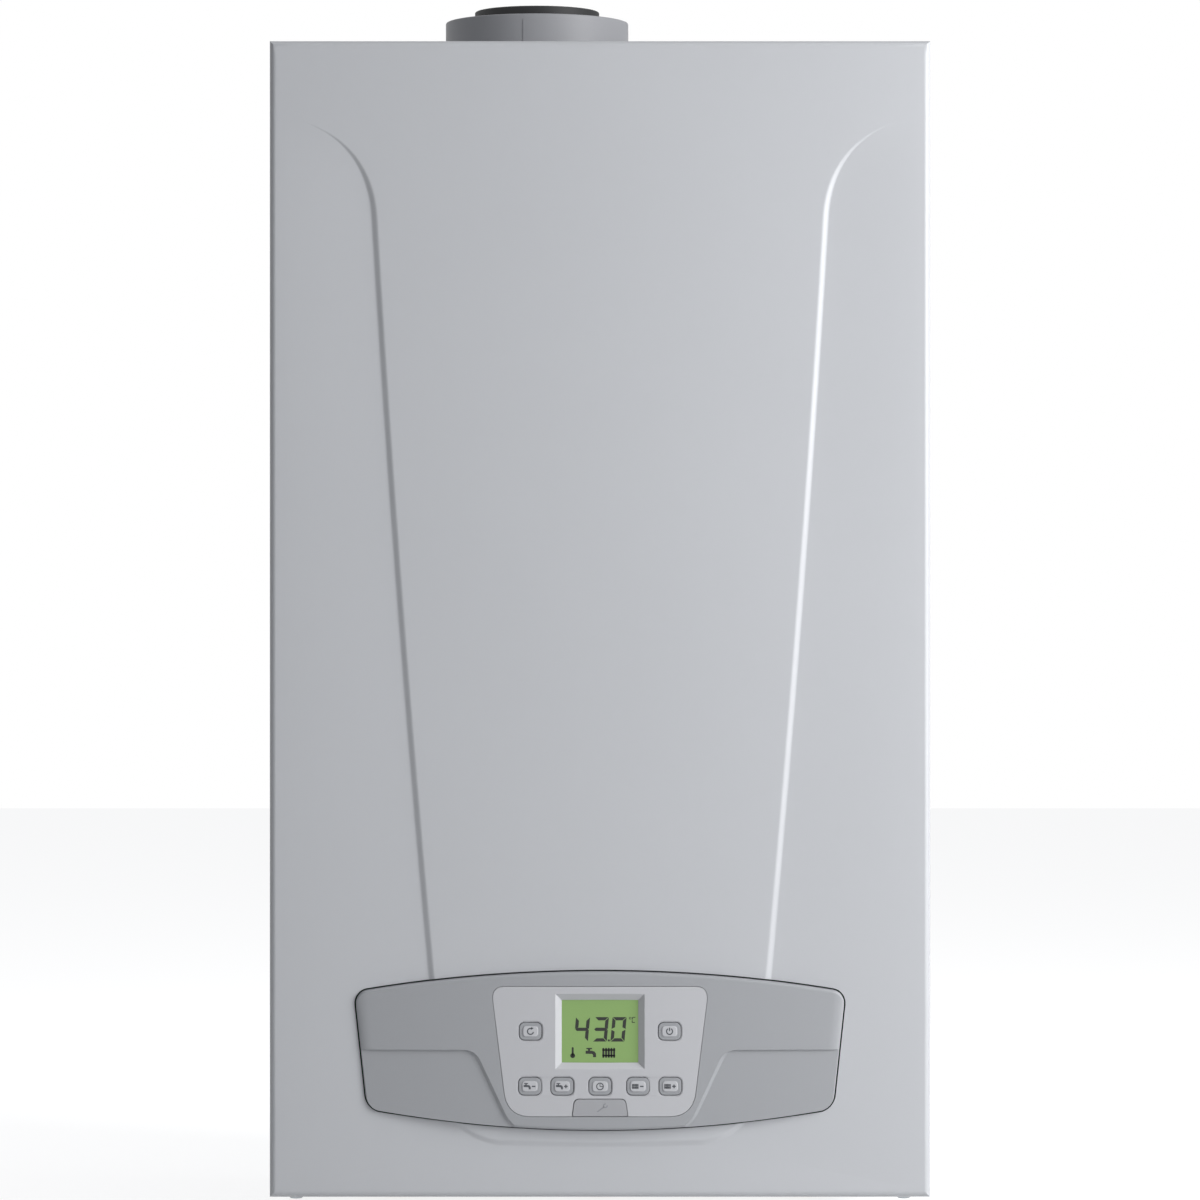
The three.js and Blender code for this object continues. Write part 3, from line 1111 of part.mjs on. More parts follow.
const VENTURI_BACK = -FAN_FRONT - SEAT;
const VENTURI_LONG = 19;
const VENTURI_FRONT = VENTURI_BACK - VENTURI_LONG;
const GAS_PORT_X = FAN_X + 44;
const GAS_PORT_Y = VENTURI_BACK - VENTURI_LONG / 2;
const GAS_PORT_RADIUS = 8;
piece('venturi', cut(
  join(
    turned('y', [
      [0, VENTURI_BACK], [34, VENTURI_BACK], [34, VENTURI_BACK - 3], [30, VENTURI_BACK - 4],
      [30, VENTURI_FRONT + 1], [29, VENTURI_FRONT], [0, VENTURI_FRONT],
    ], FAN_X, FAN_Z, 20),
    rod('x', FAN_X + 20, GAS_PORT_X, GAS_PORT_Y, FAN_Z, GAS_PORT_RADIUS, 12),
  ),
  turned('y', [
    [0, VENTURI_BACK + 1], [EYE_RADIUS, VENTURI_BACK + 1], [EYE_RADIUS - 4, VENTURI_BACK - 7],
    [EYE_RADIUS + 4, VENTURI_FRONT - 1], [0, VENTURI_FRONT - 1],
  ], FAN_X, FAN_Z, 16),
), ALUMINIUM);

// ---------------------------------------------------------------- gas

const VALVE_SIDE = 52;                   // gas valve's axis from the right side of the case
const VALVE_GAP = 16;                    // and behind the plane of the control box's back
const VALVE = {
  x: HALF_WIDTH - VALVE_SIDE, y: -BOX_BACK + VALVE_GAP, z: PUMP_Z + 190, width: 62, depth: 56, height: 60,
};
const VALVE_TOP = VALVE.z + VALVE.height / 2 + 12;
const VALVE_FOOT = VALVE.z - VALVE.height / 2 - 12;
piece('gas_valve', join(
  box(VALVE.x - VALVE.width / 2, VALVE.x + VALVE.width / 2, VALVE.y - VALVE.depth / 2,
    VALVE.y + VALVE.depth / 2, VALVE.z - VALVE.height / 2, VALVE.z + VALVE.height / 2),
  rod('z', VALVE_FOOT, VALVE_TOP, VALVE.x, VALVE.y, 16, 16),
  rod('y', VALVE.y, VALVE.y - VALVE.depth / 2 - 16, VALVE.x - 14, VALVE.z + 8, 13, 12),
  rod('y', VALVE.y, VALVE.y - VALVE.depth / 2 - 16, VALVE.x + 16, VALVE.z + 8, 13, 12),
  rod('y', VALVE.y, VALVE.y - VALVE.depth / 2 - 6, VALVE.x, VALVE.z - 18, 6, 6),
), ALUMINIUM);

piece('gas_feed_pipe', pipe([
  [VALVE.x, VALVE.y, VALVE_TOP + SEAT], [VALVE.x, VALVE.y, FAN_Z], [VALVE.x, GAS_PORT_Y, FAN_Z],
  [GAS_PORT_X + SEAT, GAS_PORT_Y, FAN_Z],
], 7, 16, 10), COPPER);

/** A pipe end with its bore cut up from the bottom. */
function openEnd(shape, x, y, bore) {
  return cut(shape, rod('z', TAP_END - 5, TAP_END + 18, x, y, bore, 12));
}

const GAS_RUN_Z = DRUM_Z - DRUM_RADIUS - 29; // level run to the middle of the boiler, over the pump
const GAS_LOW = CASE_FOOT + 33;          // level run back to the pipe ends, over the tray
const gasTap = TAP_PIPES[2];
piece('gas_inlet_pipe', openEnd(pipe([
  [VALVE.x, VALVE.y, VALVE_FOOT - SEAT], [VALVE.x, VALVE.y, GAS_RUN_Z], [gasTap.x, VALVE.y, GAS_RUN_Z],
  [gasTap.x, VALVE.y, GAS_LOW], [gasTap.x, -TAP_DEPTH, GAS_LOW], [gasTap.x, -TAP_DEPTH, TAP_END],
], gasTap.diameter / 2), gasTap.x, -TAP_DEPTH, gasTap.diameter / 2 - PIPE_WALL), COPPER);

// ---------------------------------------------------------------- frame and expansion vessel

const VESSEL_BACK = -CHASSIS_SHEET - SEAT;
const VESSEL_TOP = VESSEL_BOTTOM + VESSEL_HEIGHT;
function vesselRing(y, grow) {
  const corner = VESSEL_CORNER + Math.min(grow, 0);
  const [halfWidth, halfHeight] = [VESSEL_WIDTH / 2 + grow - corner, VESSEL_HEIGHT / 2 + grow - corner];
  const ring = [];
  for (const [u, w, start] of [[1, 1, 0], [-1, 1, 90], [-1, -1, 180], [1, -1, 270]]) {
    for (const step of [0, 30, 60, 90]) {
      const turn = THREE.MathUtils.degToRad(start + step);
      ring.push([VESSEL_X + u * halfWidth + corner * Math.cos(turn), y,
        VESSEL_BOTTOM + VESSEL_HEIGHT / 2 + w * halfHeight + corner * Math.sin(turn)]);
    }
  }
  return ring;
}
const VESSEL_FRONT = VESSEL_BACK - VESSEL_DEPTH;
const VESSEL_MIDDLE = VESSEL_BACK - VESSEL_DEPTH / 2;
const VESSEL_DISH = 12;                  // round edge of its two shells
const SEAM = 4;                          // rolled seam that holds them together
const VESSEL_PORT = { x: 60, end: VESSEL_BOTTOM - 9, radius: 8, bore: 4 };
const vesselSkin = loft([
  vesselRing(VESSEL_BACK, -VESSEL_DISH), vesselRing(VESSEL_BACK - VESSEL_DISH, 0),
  vesselRing(VESSEL_MIDDLE + SEAM / 2 + 0.5, 0), vesselRing(VESSEL_MIDDLE + SEAM / 2, SEAM),
  vesselRing(VESSEL_MIDDLE - SEAM / 2, SEAM), vesselRing(VESSEL_MIDDLE - SEAM / 2 - 0.5, 0),
  vesselRing(VESSEL_FRONT + VESSEL_DISH, 0), vesselRing(VESSEL_FRONT, -VESSEL_DISH),
]);
const vesselHollow = loft([
  vesselRing(VESSEL_BACK - VESSEL_WALL, -VESSEL_DISH - VESSEL_WALL),
  vesselRing(VESSEL_BACK - VESSEL_DISH, -VESSEL_WALL),
  vesselRing(VESSEL_FRONT + VESSEL_DISH, -VESSEL_WALL),
  vesselRing(VESSEL_FRONT + VESSEL_WALL, -VESSEL_DISH - VESSEL_WALL),
]);
piece('expansion_vessel', cut(
  join(
    vesselSkin,
    rod('z', VESSEL_PORT.end, VESSEL_BOTTOM + 5, VESSEL_PORT.x, VESSEL_MIDDLE, VESSEL_PORT.radius, 10),
  ),
  vesselHollow,
  rod('z', VESSEL_PORT.end - 5, VESSEL_BOTTOM + 8, VESSEL_PORT.x, VESSEL_MIDDLE, VESSEL_PORT.bore, 10),
), VESSEL_RED);

const FRAME_SHEET = 2;
const FRAME_SIDE = VESSEL_WIDTH / 2 + 8;
const FRAME_LOW = VESSEL_BOTTOM - 12;
const FRAME_HIGH = DRUM_Z + DRUM_RADIUS + 30;
const upright = (side) => {
  const near = VESSEL_X + side * FRAME_SIDE;
  const far = near + side * FRAME_BAR;
  return cut(
    box(near, far, -FRAME_FRONT, PANEL_BACK, FRAME_LOW, FRAME_HIGH),
    box(near + side * FRAME_SHEET, far + side * 5, -FRAME_FRONT + FRAME_SHEET, PANEL_BACK - FRAME_SHEET,
      FRAME_LOW - 5, FRAME_HIGH + 5),
  );
};
const crossbar = (z) => box(-INNER_HALF + 20, INNER_HALF - 20, -FRAME_FRONT, -FRAME_FRONT + FRAME_SHEET,
  z, z + FRAME_BAR);
piece('support_frame', join(
  upright(-1),
  upright(1),
  crossbar(FRAME_LOW),
  crossbar(FRAME_HIGH - FRAME_BAR),
  crossbar(DRUM_Z - FRAME_BAR / 2),
), GALVANISED);

const SPARK = { x: -HALF_WIDTH + 39, width: 58, depth: 34, height: 44, towers: 30 };
piece('ignition_transformer', join(
  box(SPARK.x - SPARK.width / 2, SPARK.x + SPARK.width / 2, -FRAME_FRONT - SEAT, -FRAME_FRONT - SPARK.depth,
    FRAME_HIGH - SPARK.height, FRAME_HIGH),
  ...[-1, 1].map((side) => rod('z', FRAME_HIGH - 1, FRAME_HIGH + 12, SPARK.x + side * SPARK.towers / 2,
    -FRAME_FRONT - SPARK.depth / 2, 5, 8)),
), BLACK_PLASTIC);

// ---------------------------------------------------------------- water side

const PUMP_X = SAFETY_X - 52;
const PUMP_FACE = -134;
const PUMP_RADIUS = 40;
const PUMP_LONG = 68;
const GROUP_LEFT = 100;
const GROUP_RIGHT = SAFETY_X - 16;
const GROUP_BACK = -70;
const GROUP_DEPTH = 50;
const RETURN_X = PUMP_X - 24;
piece('return_group', join(
  rod('y', GROUP_BACK + 2, PUMP_FACE, PUMP_X, PUMP_Z, PUMP_RADIUS + 8, 20),
  box(GROUP_LEFT, GROUP_RIGHT, GROUP_BACK - GROUP_DEPTH, GROUP_BACK, GROUP_FOOT, PUMP_Z),
  rod('z', PUMP_Z + 20, PUMP_Z + 50, RETURN_X, WATER_Y, WATER_RADIUS + 3, 12),
  rod('z', GROUP_FOOT, GROUP_FOOT + 60, FILLING_X, FILLING_Y, 12, 12),
), GREY_COMPOSITE);

piece('pump_motor', join(
  turned('y', [
    [0, PUMP_FACE - SEAT], [PUMP_RADIUS + 4, PUMP_FACE - SEAT], [PUMP_RADIUS + 4, PUMP_FACE - 14],
    [PUMP_RADIUS, PUMP_FACE - 16], [PUMP_RADIUS, PUMP_FACE - PUMP_LONG + 6],
    [PUMP_RADIUS - 6, PUMP_FACE - PUMP_LONG], [0, PUMP_FACE - PUMP_LONG],
  ], PUMP_X, PUMP_Z, 16),
  box(PUMP_X - 24, PUMP_X + 24, PUMP_FACE - PUMP_LONG + 2, PUMP_FACE - 20,
    PUMP_Z - PUMP_RADIUS - 10, PUMP_Z - PUMP_RADIUS + 10),
), PUMP_BLACK);

piece('return_pipe', pipe([
  [RETURN_X, WATER_Y, PUMP_Z + 50 + SEAT], [RETURN_X, WATER_Y, WATER_Z],
  [RETURN_STUB_X + SEAT, WATER_Y, WATER_Z],
], WATER_RADIUS, 20, 10), COPPER);

const FLOW_X = -152;
const FLOW_PORT_TOP = GROUP_FOOT + 100;
piece('flow_pipe', pipe([
  [FLOW_STUB_X - SEAT, WATER_Y, WATER_Z], [FLOW_X, WATER_Y, WATER_Z], [FLOW_X, WATER_Y, FLOW_PORT_TOP + SEAT],
], WATER_RADIUS, 20, 10), COPPER);

const FLOW_BLOCK_TOP = GROUP_FOOT + 84;
const DIVERTER = { x: -118, y: -100, foot: FLOW_BLOCK_TOP + 10, width: 34, depth: 40, height: 42 };
piece('flow_group', join(
  box(FLOW_X - 13, -GROUP_LEFT, DIVERTER.y - GROUP_DEPTH / 2, DIVERTER.y + GROUP_DEPTH / 2,
    GROUP_FOOT, FLOW_BLOCK_TOP),
  rod('z', FLOW_BLOCK_TOP - 4, FLOW_PORT_TOP, FLOW_X, WATER_Y, WATER_RADIUS + 3, 12),
  rod('z', FLOW_BLOCK_TOP - 4, DIVERTER.foot, DIVERTER.x, DIVERTER.y, 13, 12),
), GREY_COMPOSITE);
piece('diverter_motor', join(
  box(DIVERTER.x - DIVERTER.width / 2, DIVERTER.x + DIVERTER.width / 2, DIVERTER.y - DIVERTER.depth / 2,
    DIVERTER.y + DIVERTER.depth / 2, DIVERTER.foot + SEAT, DIVERTER.foot + DIVERTER.height),
  rod('z', DIVERTER.foot + DIVERTER.height - 1, DIVERTER.foot + DIVERTER.height + 6, DIVERTER.x,
    DIVERTER.y, 10, 12),
), BLACK_PLASTIC);

const PLATES = 7;
const PLATE_PITCH = 6;
const PLATE_BEAD = 3;                    // how far each pair of plates stands out, and its height
const PLATE_HALF = GROUP_LEFT - SEAT;
const PLATE_BACK = GROUP_BACK - 5;
const PLATE_DEPTH = 70;
const plateBead = (foot) => box(-PLATE_HALF + PLATE_BEAD, PLATE_HALF - PLATE_BEAD,
  PLATE_BACK - PLATE_DEPTH - PLATE_BEAD, PLATE_BACK + PLATE_BEAD, foot, foot + PLATE_BEAD);
piece('plate_heat_exchanger', join(
  box(-PLATE_HALF, PLATE_HALF, PLATE_BACK - PLATE_DEPTH, PLATE_BACK, GROUP_FOOT,
    GROUP_FOOT + PLATES * PLATE_PITCH),
  ...Array.from({ length: PLATES }, (_, i) => plateBead(GROUP_FOOT + (i + 0.25) * PLATE_PITCH)),
), STAINLESS);

TAP_PIPES.filter(({ name }) => name.endsWith('nipple')).forEach(({ name, x, diameter }) => {
  const nut = box(x - diameter / 2 - 3, x + diameter / 2 + 3, -TAP_DEPTH - diameter / 2 - 3,
    -TAP_DEPTH + diameter / 2 + 3, GROUP_FOOT - 16, GROUP_FOOT - SEAT);
  const stem = rod('z', TAP_END, GROUP_FOOT - 1, x, -TAP_DEPTH, diameter / 2, 12);
  piece(name, openEnd(join(nut, stem), x, -TAP_DEPTH, diameter / 2 - PIPE_WALL), BRASS);
});

const LINK_Y = GROUP_BACK - 16;          // where the vessel's pipe meets the return group
const LINK_Z = PUMP_Z - 80;
piece('expansion_pipe', pipe([
  [VESSEL_PORT.x, VESSEL_MIDDLE, VESSEL_PORT.end - SEAT], [VESSEL_PORT.x, VESSEL_MIDDLE, LINK_Z],
  [VESSEL_PORT.x, LINK_Y, LINK_Z], [GROUP_LEFT - SEAT, LINK_Y, LINK_Z],
], 5, 12, 8), COPPER);

piece('air_vent', turned('z', [
  [0, VENT_FOOT + SEAT], [8, VENT_FOOT + SEAT], [8, VENT_FOOT + 6], [17, VENT_FOOT + 10],
  [17, VENT_FOOT + 46], [12, VENT_FOOT + 52], [5, VENT_FOOT + 52], [5, VENT_FOOT + 60], [0, VENT_FOOT + 60],
], VENT_X, WATER_Y, 16), BRASS);

const SAFETY_TOP = PUMP_Z - 82;
const SAFETY_END = CASE_FOOT + 4;
piece('safety_valve', join(
  rod('x', GROUP_RIGHT + SEAT, SAFETY_X, SAFETY_Y, SAFETY_TOP - 24, 8, 12),
  rod('z', SAFETY_TOP - 46, SAFETY_TOP, SAFETY_X, SAFETY_Y, 12, 16),
  rod('z', SAFETY_END, SAFETY_TOP - 40, SAFETY_X, SAFETY_Y, 7.5, 12),
), BRASS);

/** A grip with finger flats round it, turning about Z. */
function grip(x, y, low, high, radius, flutes, stem = []) {
  const hollows = Array.from({ length: flutes }, (_, i) => {
    const turn = 2 * Math.PI * i / flutes;
    return rod('z', low - 5, high + 5, x + (radius + 2.5) * Math.cos(turn),
      y + (radius + 2.5) * Math.sin(turn), 4, 8);
  });
  return join(cut(rod('z', low, high, x, y, radius, 16), ...hollows), ...stem);
}
piece('safety_valve_knob', grip(SAFETY_X, SAFETY_Y, SAFETY_TOP + RUN, SAFETY_TOP + 18, 13, 6), VALVE_RED);

const FILLING_GRIP = 16;
piece('filling_tap_knob', grip(FILLING_X, FILLING_Y, TAP_END + 4, TAP_END + 4 + FILLING_GRIP, 13, 6, [
  rod('z', TAP_END + FILLING_GRIP, GROUP_FOOT - RUN, FILLING_X, FILLING_Y, 5, 12)]), TAP_BLUE);

// Pressure gauge: a cup through the tray with its dial looking down, and a needle inside the rim.
const GAUGE_DIAL = CASE_FOOT + 2;
const GAUGE_RADIUS = 19.5;
piece('pressure_gauge', turned('z', [
  [0, GAUGE_DIAL], [GAUGE_RADIUS - 2, GAUGE_DIAL], [GAUGE_RADIUS - 2, GAUGE_DIAL - 6],
  [GAUGE_RADIUS, GAUGE_DIAL - 6], [GAUGE_RADIUS, TRAY_Z + CHASSIS_SHEET + SEAT],
  [GAUGE_RADIUS + 3.5, TRAY_Z + CHASSIS_SHEET + SEAT], [GAUGE_RADIUS + 3.5, TRAY_Z + 4],
  [12, TRAY_Z + 6], [12, TRAY_Z + 16], [0, TRAY_Z + 16],
], GAUGE_X, GAUGE_Y, 16), DIAL_WHITE);
piece('gauge_needle', join(
  rod('z', GAUGE_DIAL - RUN, GAUGE_DIAL - 2.5, GAUGE_X, GAUGE_Y, 2.5, 10),
  box(GAUGE_X - 13, GAUGE_X + 4, GAUGE_Y - 0.8, GAUGE_Y + 0.8, GAUGE_DIAL - 2, GAUGE_DIAL - 1),
), BLACK_PLASTIC);

// ---------------------------------------------------------------- condensate

const TRAP_TOP = DRAIN_END - SEAT;
const TRAP_FOOT = TRAP_TOP - 155;
piece('condensate_trap', turned('z', [
  [0, TRAP_TOP], [12, TRAP_TOP], [12, TRAP_TOP - 22], [29, TRAP_TOP - 30], [29, TRAP_TOP - 118],
  [25, TRAP_TOP - 120], [25, TRAP_TOP - 144], [10, TRAP_TOP - 150], [10, TRAP_FOOT], [0, TRAP_FOOT],
], TRAP_X, TRAP_Y, 16), TRAP_WHITE);
piece('condensate_hose', cut(
  pipe([
    [TRAP_X, TRAP_Y, TRAP_FOOT - SEAT], [TRAP_X, TRAP_Y, TRAP_FOOT - 44],
    [DRAIN_X, DRAIN_Y, TRAP_FOOT - 86], [DRAIN_X, DRAIN_Y, TAP_END + 4],
  ], 9.5, 30, 10),
  rod('z', TAP_END, TAP_END + 20, DRAIN_X, DRAIN_Y, 7.5, 10),
), GREY_COMPOSITE);

export default boiler;
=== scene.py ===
"""Visual model of a wall-hung condensing combi boiler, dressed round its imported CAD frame.

Metres, +X right, the front faces -Y, +Z up; the origin is the centre of the back face on the wall.
"""

from __future__ import annotations

import logging
import math
from collections.abc import Iterable
from dataclasses import dataclass, field
from enum import Enum

import bmesh
import bpy
from mathutils import Matrix, Vector


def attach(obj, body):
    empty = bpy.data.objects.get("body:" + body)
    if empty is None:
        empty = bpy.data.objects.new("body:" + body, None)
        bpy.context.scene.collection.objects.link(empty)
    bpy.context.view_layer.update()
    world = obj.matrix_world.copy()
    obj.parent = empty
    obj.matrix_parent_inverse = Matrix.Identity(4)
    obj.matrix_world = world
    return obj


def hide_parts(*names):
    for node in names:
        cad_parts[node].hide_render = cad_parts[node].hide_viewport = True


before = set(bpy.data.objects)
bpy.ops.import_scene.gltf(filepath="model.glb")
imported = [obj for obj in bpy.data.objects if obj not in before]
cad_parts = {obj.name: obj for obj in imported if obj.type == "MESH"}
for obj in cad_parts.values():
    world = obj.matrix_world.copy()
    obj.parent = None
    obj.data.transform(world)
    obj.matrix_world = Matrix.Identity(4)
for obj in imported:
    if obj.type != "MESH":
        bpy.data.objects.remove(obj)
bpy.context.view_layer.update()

LOG = logging.getLogger("boiler")
MM = 0.001
Point = tuple[float, float]


# ---------------------------------------------------------------- finishes

def linear(hex_colour: str) -> tuple[float, float, float, float]:
    """Turn an sRGB hex colour into the linear colour that a shader takes.

    Args:
        hex_colour: six hex digits with a leading hash.

    Returns:
        Linear red, green and blue with an alpha of 1.
    """
    parts = [int(hex_colour[i:i + 2], 16) / 255 for i in (1, 3, 5)]
    channels = [v / 12.92 if v <= 0.04045 else ((v + 0.055) / 1.055) ** 2.4 for v in parts]
    return (*channels, 1.0)


def add_node(tree: bpy.types.NodeTree, kind: str, settings: dict | None = None,
             links: dict | None = None) -> bpy.types.Node:
    """Add one node to a tree.

    Args:
        tree: the node tree.
        kind: the node's type name.
        settings: properties of the node by name, or input values by socket name or number.
        links: output sockets by the name or number of the input that they feed.

    Returns:
        The new node.
    """
    node = tree.nodes.new(kind)
    for key, value in (settings or {}).items():
        if isinstance(key, str) and key not in node.inputs and hasattr(node, key):
            setattr(node, key, value)
        else:
            node.inputs[key].default_value = value
    for key, socket in (links or {}).items():
        tree.links.new(socket, node.inputs[key])
    return node


class Grain(Enum):
    """How a surface was made, which sets the pattern that it carries."""

    POWDER = "powder"      # sprayed and baked paint, with a faint orange peel
    SPARK = "spark"        # moulded in a spark-eroded tool
    SMOOTH = "smooth"      # moulded in a polished tool
    BRUSHED = "brushed"    # drawn through belts, with streaks
    CAST = "cast"          # die cast skin
    DRAWN = "drawn"        # drawn tube or turned bar, slightly tarnished
    SPANGLE = "spangle"    # hot-dip zinc flowers


@dataclass(frozen=True)
class Finish:
    """One surface finish: what the material is and how its surface was made."""

    name: str
    colour: str
    grain: Grain
    roughness: float
    metallic: float = 0.0
    ior: float = 1.5
    grain_mm: float = 1.6
    relief_mm: float = 0.02
    shade: float = 0.04
    coat: float = 0.0
    glow: float = 0.0

    def material(self) -> bpy.types.Material:
        """The finish as a node material, made once and then shared."""
        return bpy.data.materials.get(self.name) or self.build()

    def build(self) -> bpy.types.Material:
        """Make the node material.

        Returns:
            The new material.
        """
        material = bpy.data.materials.new(self.name)
        material.use_nodes = True
        tree = material.node_tree
        tree.nodes.clear()
        coordinates = add_node(tree, "ShaderNodeTexCoord")
        place = coordinates.outputs["Object"]
        if self.grain is Grain.BRUSHED:
            # Streaks run along Z: the pattern is squeezed across and stretched along them.
            mapping = add_node(tree, "ShaderNodeMapping", {"Scale": (1.0, 1.0, 0.04)}, {"Vector": place})
            place = mapping.outputs["Vector"]
        fine = add_node(tree, "ShaderNodeTexNoise",
                        {"Scale": 1 / (self.grain_mm * MM), "Detail": 3.0, "Roughness": 0.55},
                        {"Vector": place})
        height = fine.outputs["Fac"]
        if self.grain is Grain.SPANGLE:
            flowers = add_node(tree, "ShaderNodeTexVoronoi", {"Scale": 1 / (self.grain_mm * MM)},
                               {"Vector": place})
            height = flowers.outputs["Distance"]
        broad = add_node(tree, "ShaderNodeTexNoise", {"Scale": 9.0, "Detail": 2.0},
                         {"Vector": coordinates.outputs["Object"]})
        base = linear(self.colour)
        tint = self.tint(tree, base, height, broad.outputs["Fac"])
        bump = add_node(tree, "ShaderNodeBump",
                        {"Strength": 0.6, "Distance": self.relief_mm * MM}, {"Height": height})
        gloss = add_node(tree, "ShaderNodeMapRange", {
            "From Min": 0.3, "From Max": 0.7,
            "To Min": max(0.03, self.roughness - 0.05), "To Max": min(1.0, self.roughness + 0.05),
        }, {"Value": broad.outputs["Fac"]})
        shader = add_node(tree, "ShaderNodeBsdfPrincipled", {
            "Metallic": self.metallic, "IOR": self.ior, "Coat Weight": self.coat, "Coat Roughness": 0.15,
            "Emission Color": base, "Emission Strength": self.glow,
        }, {"Base Color": tint, "Roughness": gloss.outputs["Result"], "Normal": bump.outputs["Normal"]})
        add_node(tree, "ShaderNodeOutputMaterial", links={"Surface": shader.outputs["BSDF"]})
        return material

    def tint(self, tree: bpy.types.NodeTree, base: tuple, height: bpy.types.NodeSocket,
             broad: bpy.types.NodeSocket) -> bpy.types.NodeSocket:
        """Vary the colour a little, by the fine pattern and by a broad cloudiness.

        Args:
            tree: the node tree.
            base: the linear colour.
            height: the fine pattern.
            broad: the broad pattern.

        Returns:
            The colour output.
        """
        darker = tuple(v * (1 - self.shade) for v in base[:3]) + (1.0,)
        lighter = tuple(min(1.0, v * (1 + self.shade)) for v in base[:3]) + (1.0,)
        mixed = add_node(tree, "ShaderNodeMix", {"data_type": "RGBA", 6: darker, 7: lighter}, {0: height})
        cloud = add_node(tree, "ShaderNodeMix", {"data_type": "RGBA", 0: 0.5, 6: darker, 7: lighter})
        tree.links.new(broad, cloud.inputs[0])
        blend = add_node(tree, "ShaderNodeMix", {"data_type": "RGBA", 0: 0.5})
        tree.links.new(mixed.outputs[2], blend.inputs[6])
        tree.links.new(cloud.outputs[2], blend.inputs[7])
        return blend.outputs[2]


# Powder coat on steel: a soft, even sheen with a faint orange peel. The peel is near 1 mm on the
# real sheet and is drawn at 2.5 mm, so that it shows.
POWDER_COAT = Finish("powder_coat_light_grey", "#BABCC0", Grain.POWDER, 0.42, 0.0, 1.5, 2.5, 0.012, 0.012)
# ABS from a spark-eroded tool: dull, with a fine even grain that breaks the highlights up.
FASCIA_ABS = Finish("abs_fascia_mid_grey", "#999B9F", Grain.SPARK, 0.5, 0.0, 1.53, 1.2, 0.03, 0.02)
KEYPAD_ABS = Finish("abs_keypad_light_grey", "#B7B8BC", Grain.SPARK, 0.46, 0.0, 1.53, 1.2, 0.02, 0.015)
KEY_ABS = Finish("abs_key_pale_grey", "#B9BABE", Grain.SMOOTH, 0.34, 0.0, 1.53, 2.0, 0.01, 0.01)
# The key rims' darker grey is partly the rims' own tone and partly painted shade of the groove round each
# pad.
KEY_RIM_ABS_AND_SHADE = Finish("abs_key_rim_grey_and_painted_shade", "#95979B", Grain.SPARK, 0.5, 0.0, 1.53, 1.2, 0.02, 0.015)
CAP_ABS = Finish("abs_cap_grey", "#9E9FA3", Grain.SPARK, 0.46, 0.0, 1.53, 1.2, 0.02, 0.015)
FAINT_INK = Finish("screen_print_faint_grey", "#888A8E", Grain.SMOOTH, 0.5, 0.0, 1.5, 1.5, 0.005, 0.05)
PRINT_INK = Finish("screen_print_dark_grey", "#484B50", Grain.SMOOTH, 0.5, 0.0, 1.5, 1.5, 0.005, 0.05)
# Backlit liquid crystal under its polariser: an even green with a slight glow.
LCD_FIELD = Finish("lcd_polariser_green", "#708C53", Grain.SMOOTH, 0.5, 0.0, 1.5, 3.0, 0.002, 0.03, 0.0, 0.35)
LCD_DARK = Finish("lcd_segment_dark_green", "#0E130A", Grain.SMOOTH, 0.5, 0.0, 1.5, 3.0, 0.002, 0.05)
COLLAR_PP = Finish("polypropylene_collar_grey", "#96979B", Grain.SPARK, 0.55, 0.0, 1.49, 1.4, 0.03, 0.03)
SOCKET_PP = Finish("polypropylene_socket_black", "#1C1D1F", Grain.SPARK, 0.62, 0.0, 1.49, 1.4, 0.03, 0.06)
GALVANISED = Finish("galvanised_sheet", "#A9ADB0", Grain.SPANGLE, 0.42, 0.9, 1.5, 9.0, 0.01, 0.08)
ZINC_PLATE = Finish("zinc_plated_steel", "#9BA0A4", Grain.DRAWN, 0.32, 1.0, 1.5, 1.5, 0.01, 0.05)
EPDM = Finish("epdm_rubber_black", "#232427", Grain.SPARK, 0.8, 0.0, 1.5, 1.5, 0.05, 0.08)
GLASS_NYLON = Finish("glass_filled_nylon_grey", "#4A4C50", Grain.SPARK, 0.6, 0.0, 1.53, 1.6, 0.04, 0.08)
BLACK_NYLON = Finish("nylon_black", "#2C2D30", Grain.SPARK, 0.52, 0.0, 1.53, 1.4, 0.03, 0.08)
STAINLESS = Finish("stainless_brushed", "#C4C6C8", Grain.BRUSHED, 0.3, 1.0, 1.5, 1.2, 0.01, 0.06)
DIE_CAST = Finish("aluminium_die_cast", "#B4B6B8", Grain.CAST, 0.46, 1.0, 1.5, 1.8, 0.06, 0.06)
COPPER = Finish("copper_tube", "#B87350", Grain.DRAWN, 0.32, 1.0, 1.5, 6.0, 0.01, 0.12)
BRASS = Finish("brass_turned", "#C0A060", Grain.DRAWN, 0.32, 1.0, 1.5, 2.0, 0.01, 0.08)
VESSEL_PAINT = Finish("gloss_red_paint", "#A02F2A", Grain.POWDER, 0.35, 0.0, 1.5, 3.0, 0.02, 0.04, 0.2)
PUMP_COAT = Finish("cathodic_black_coat", "#2A2C30", Grain.CAST, 0.48, 0.1, 1.5, 1.8, 0.05, 0.08)
TRAP_PP = Finish("polypropylene_natural_white", "#D8D8D4", Grain.SMOOTH, 0.42, 0.0, 1.49, 3.0, 0.01, 0.02)
SOLDER_MASK = Finish("solder_mask_green", "#2F6B3F", Grain.SMOOTH, 0.35, 0.0, 1.5, 3.0, 0.01, 0.12, 0.2)
TAP_BLUE = Finish("abs_blue", "#2C5F9E", Grain.SMOOTH, 0.42, 0.0, 1.53, 2.0, 0.01, 0.03)
VALVE_RED = Finish("abs_red", "#B03028", Grain.SMOOTH, 0.42, 0.0, 1.53, 2.0, 0.01, 0.03)
DIAL_WHITE = Finish("dial_white", "#E6E6E2", Grain.SMOOTH, 0.4, 0.0, 1.5, 3.0, 0.005, 0.01)


# ---------------------------------------------------------------- mesh tools

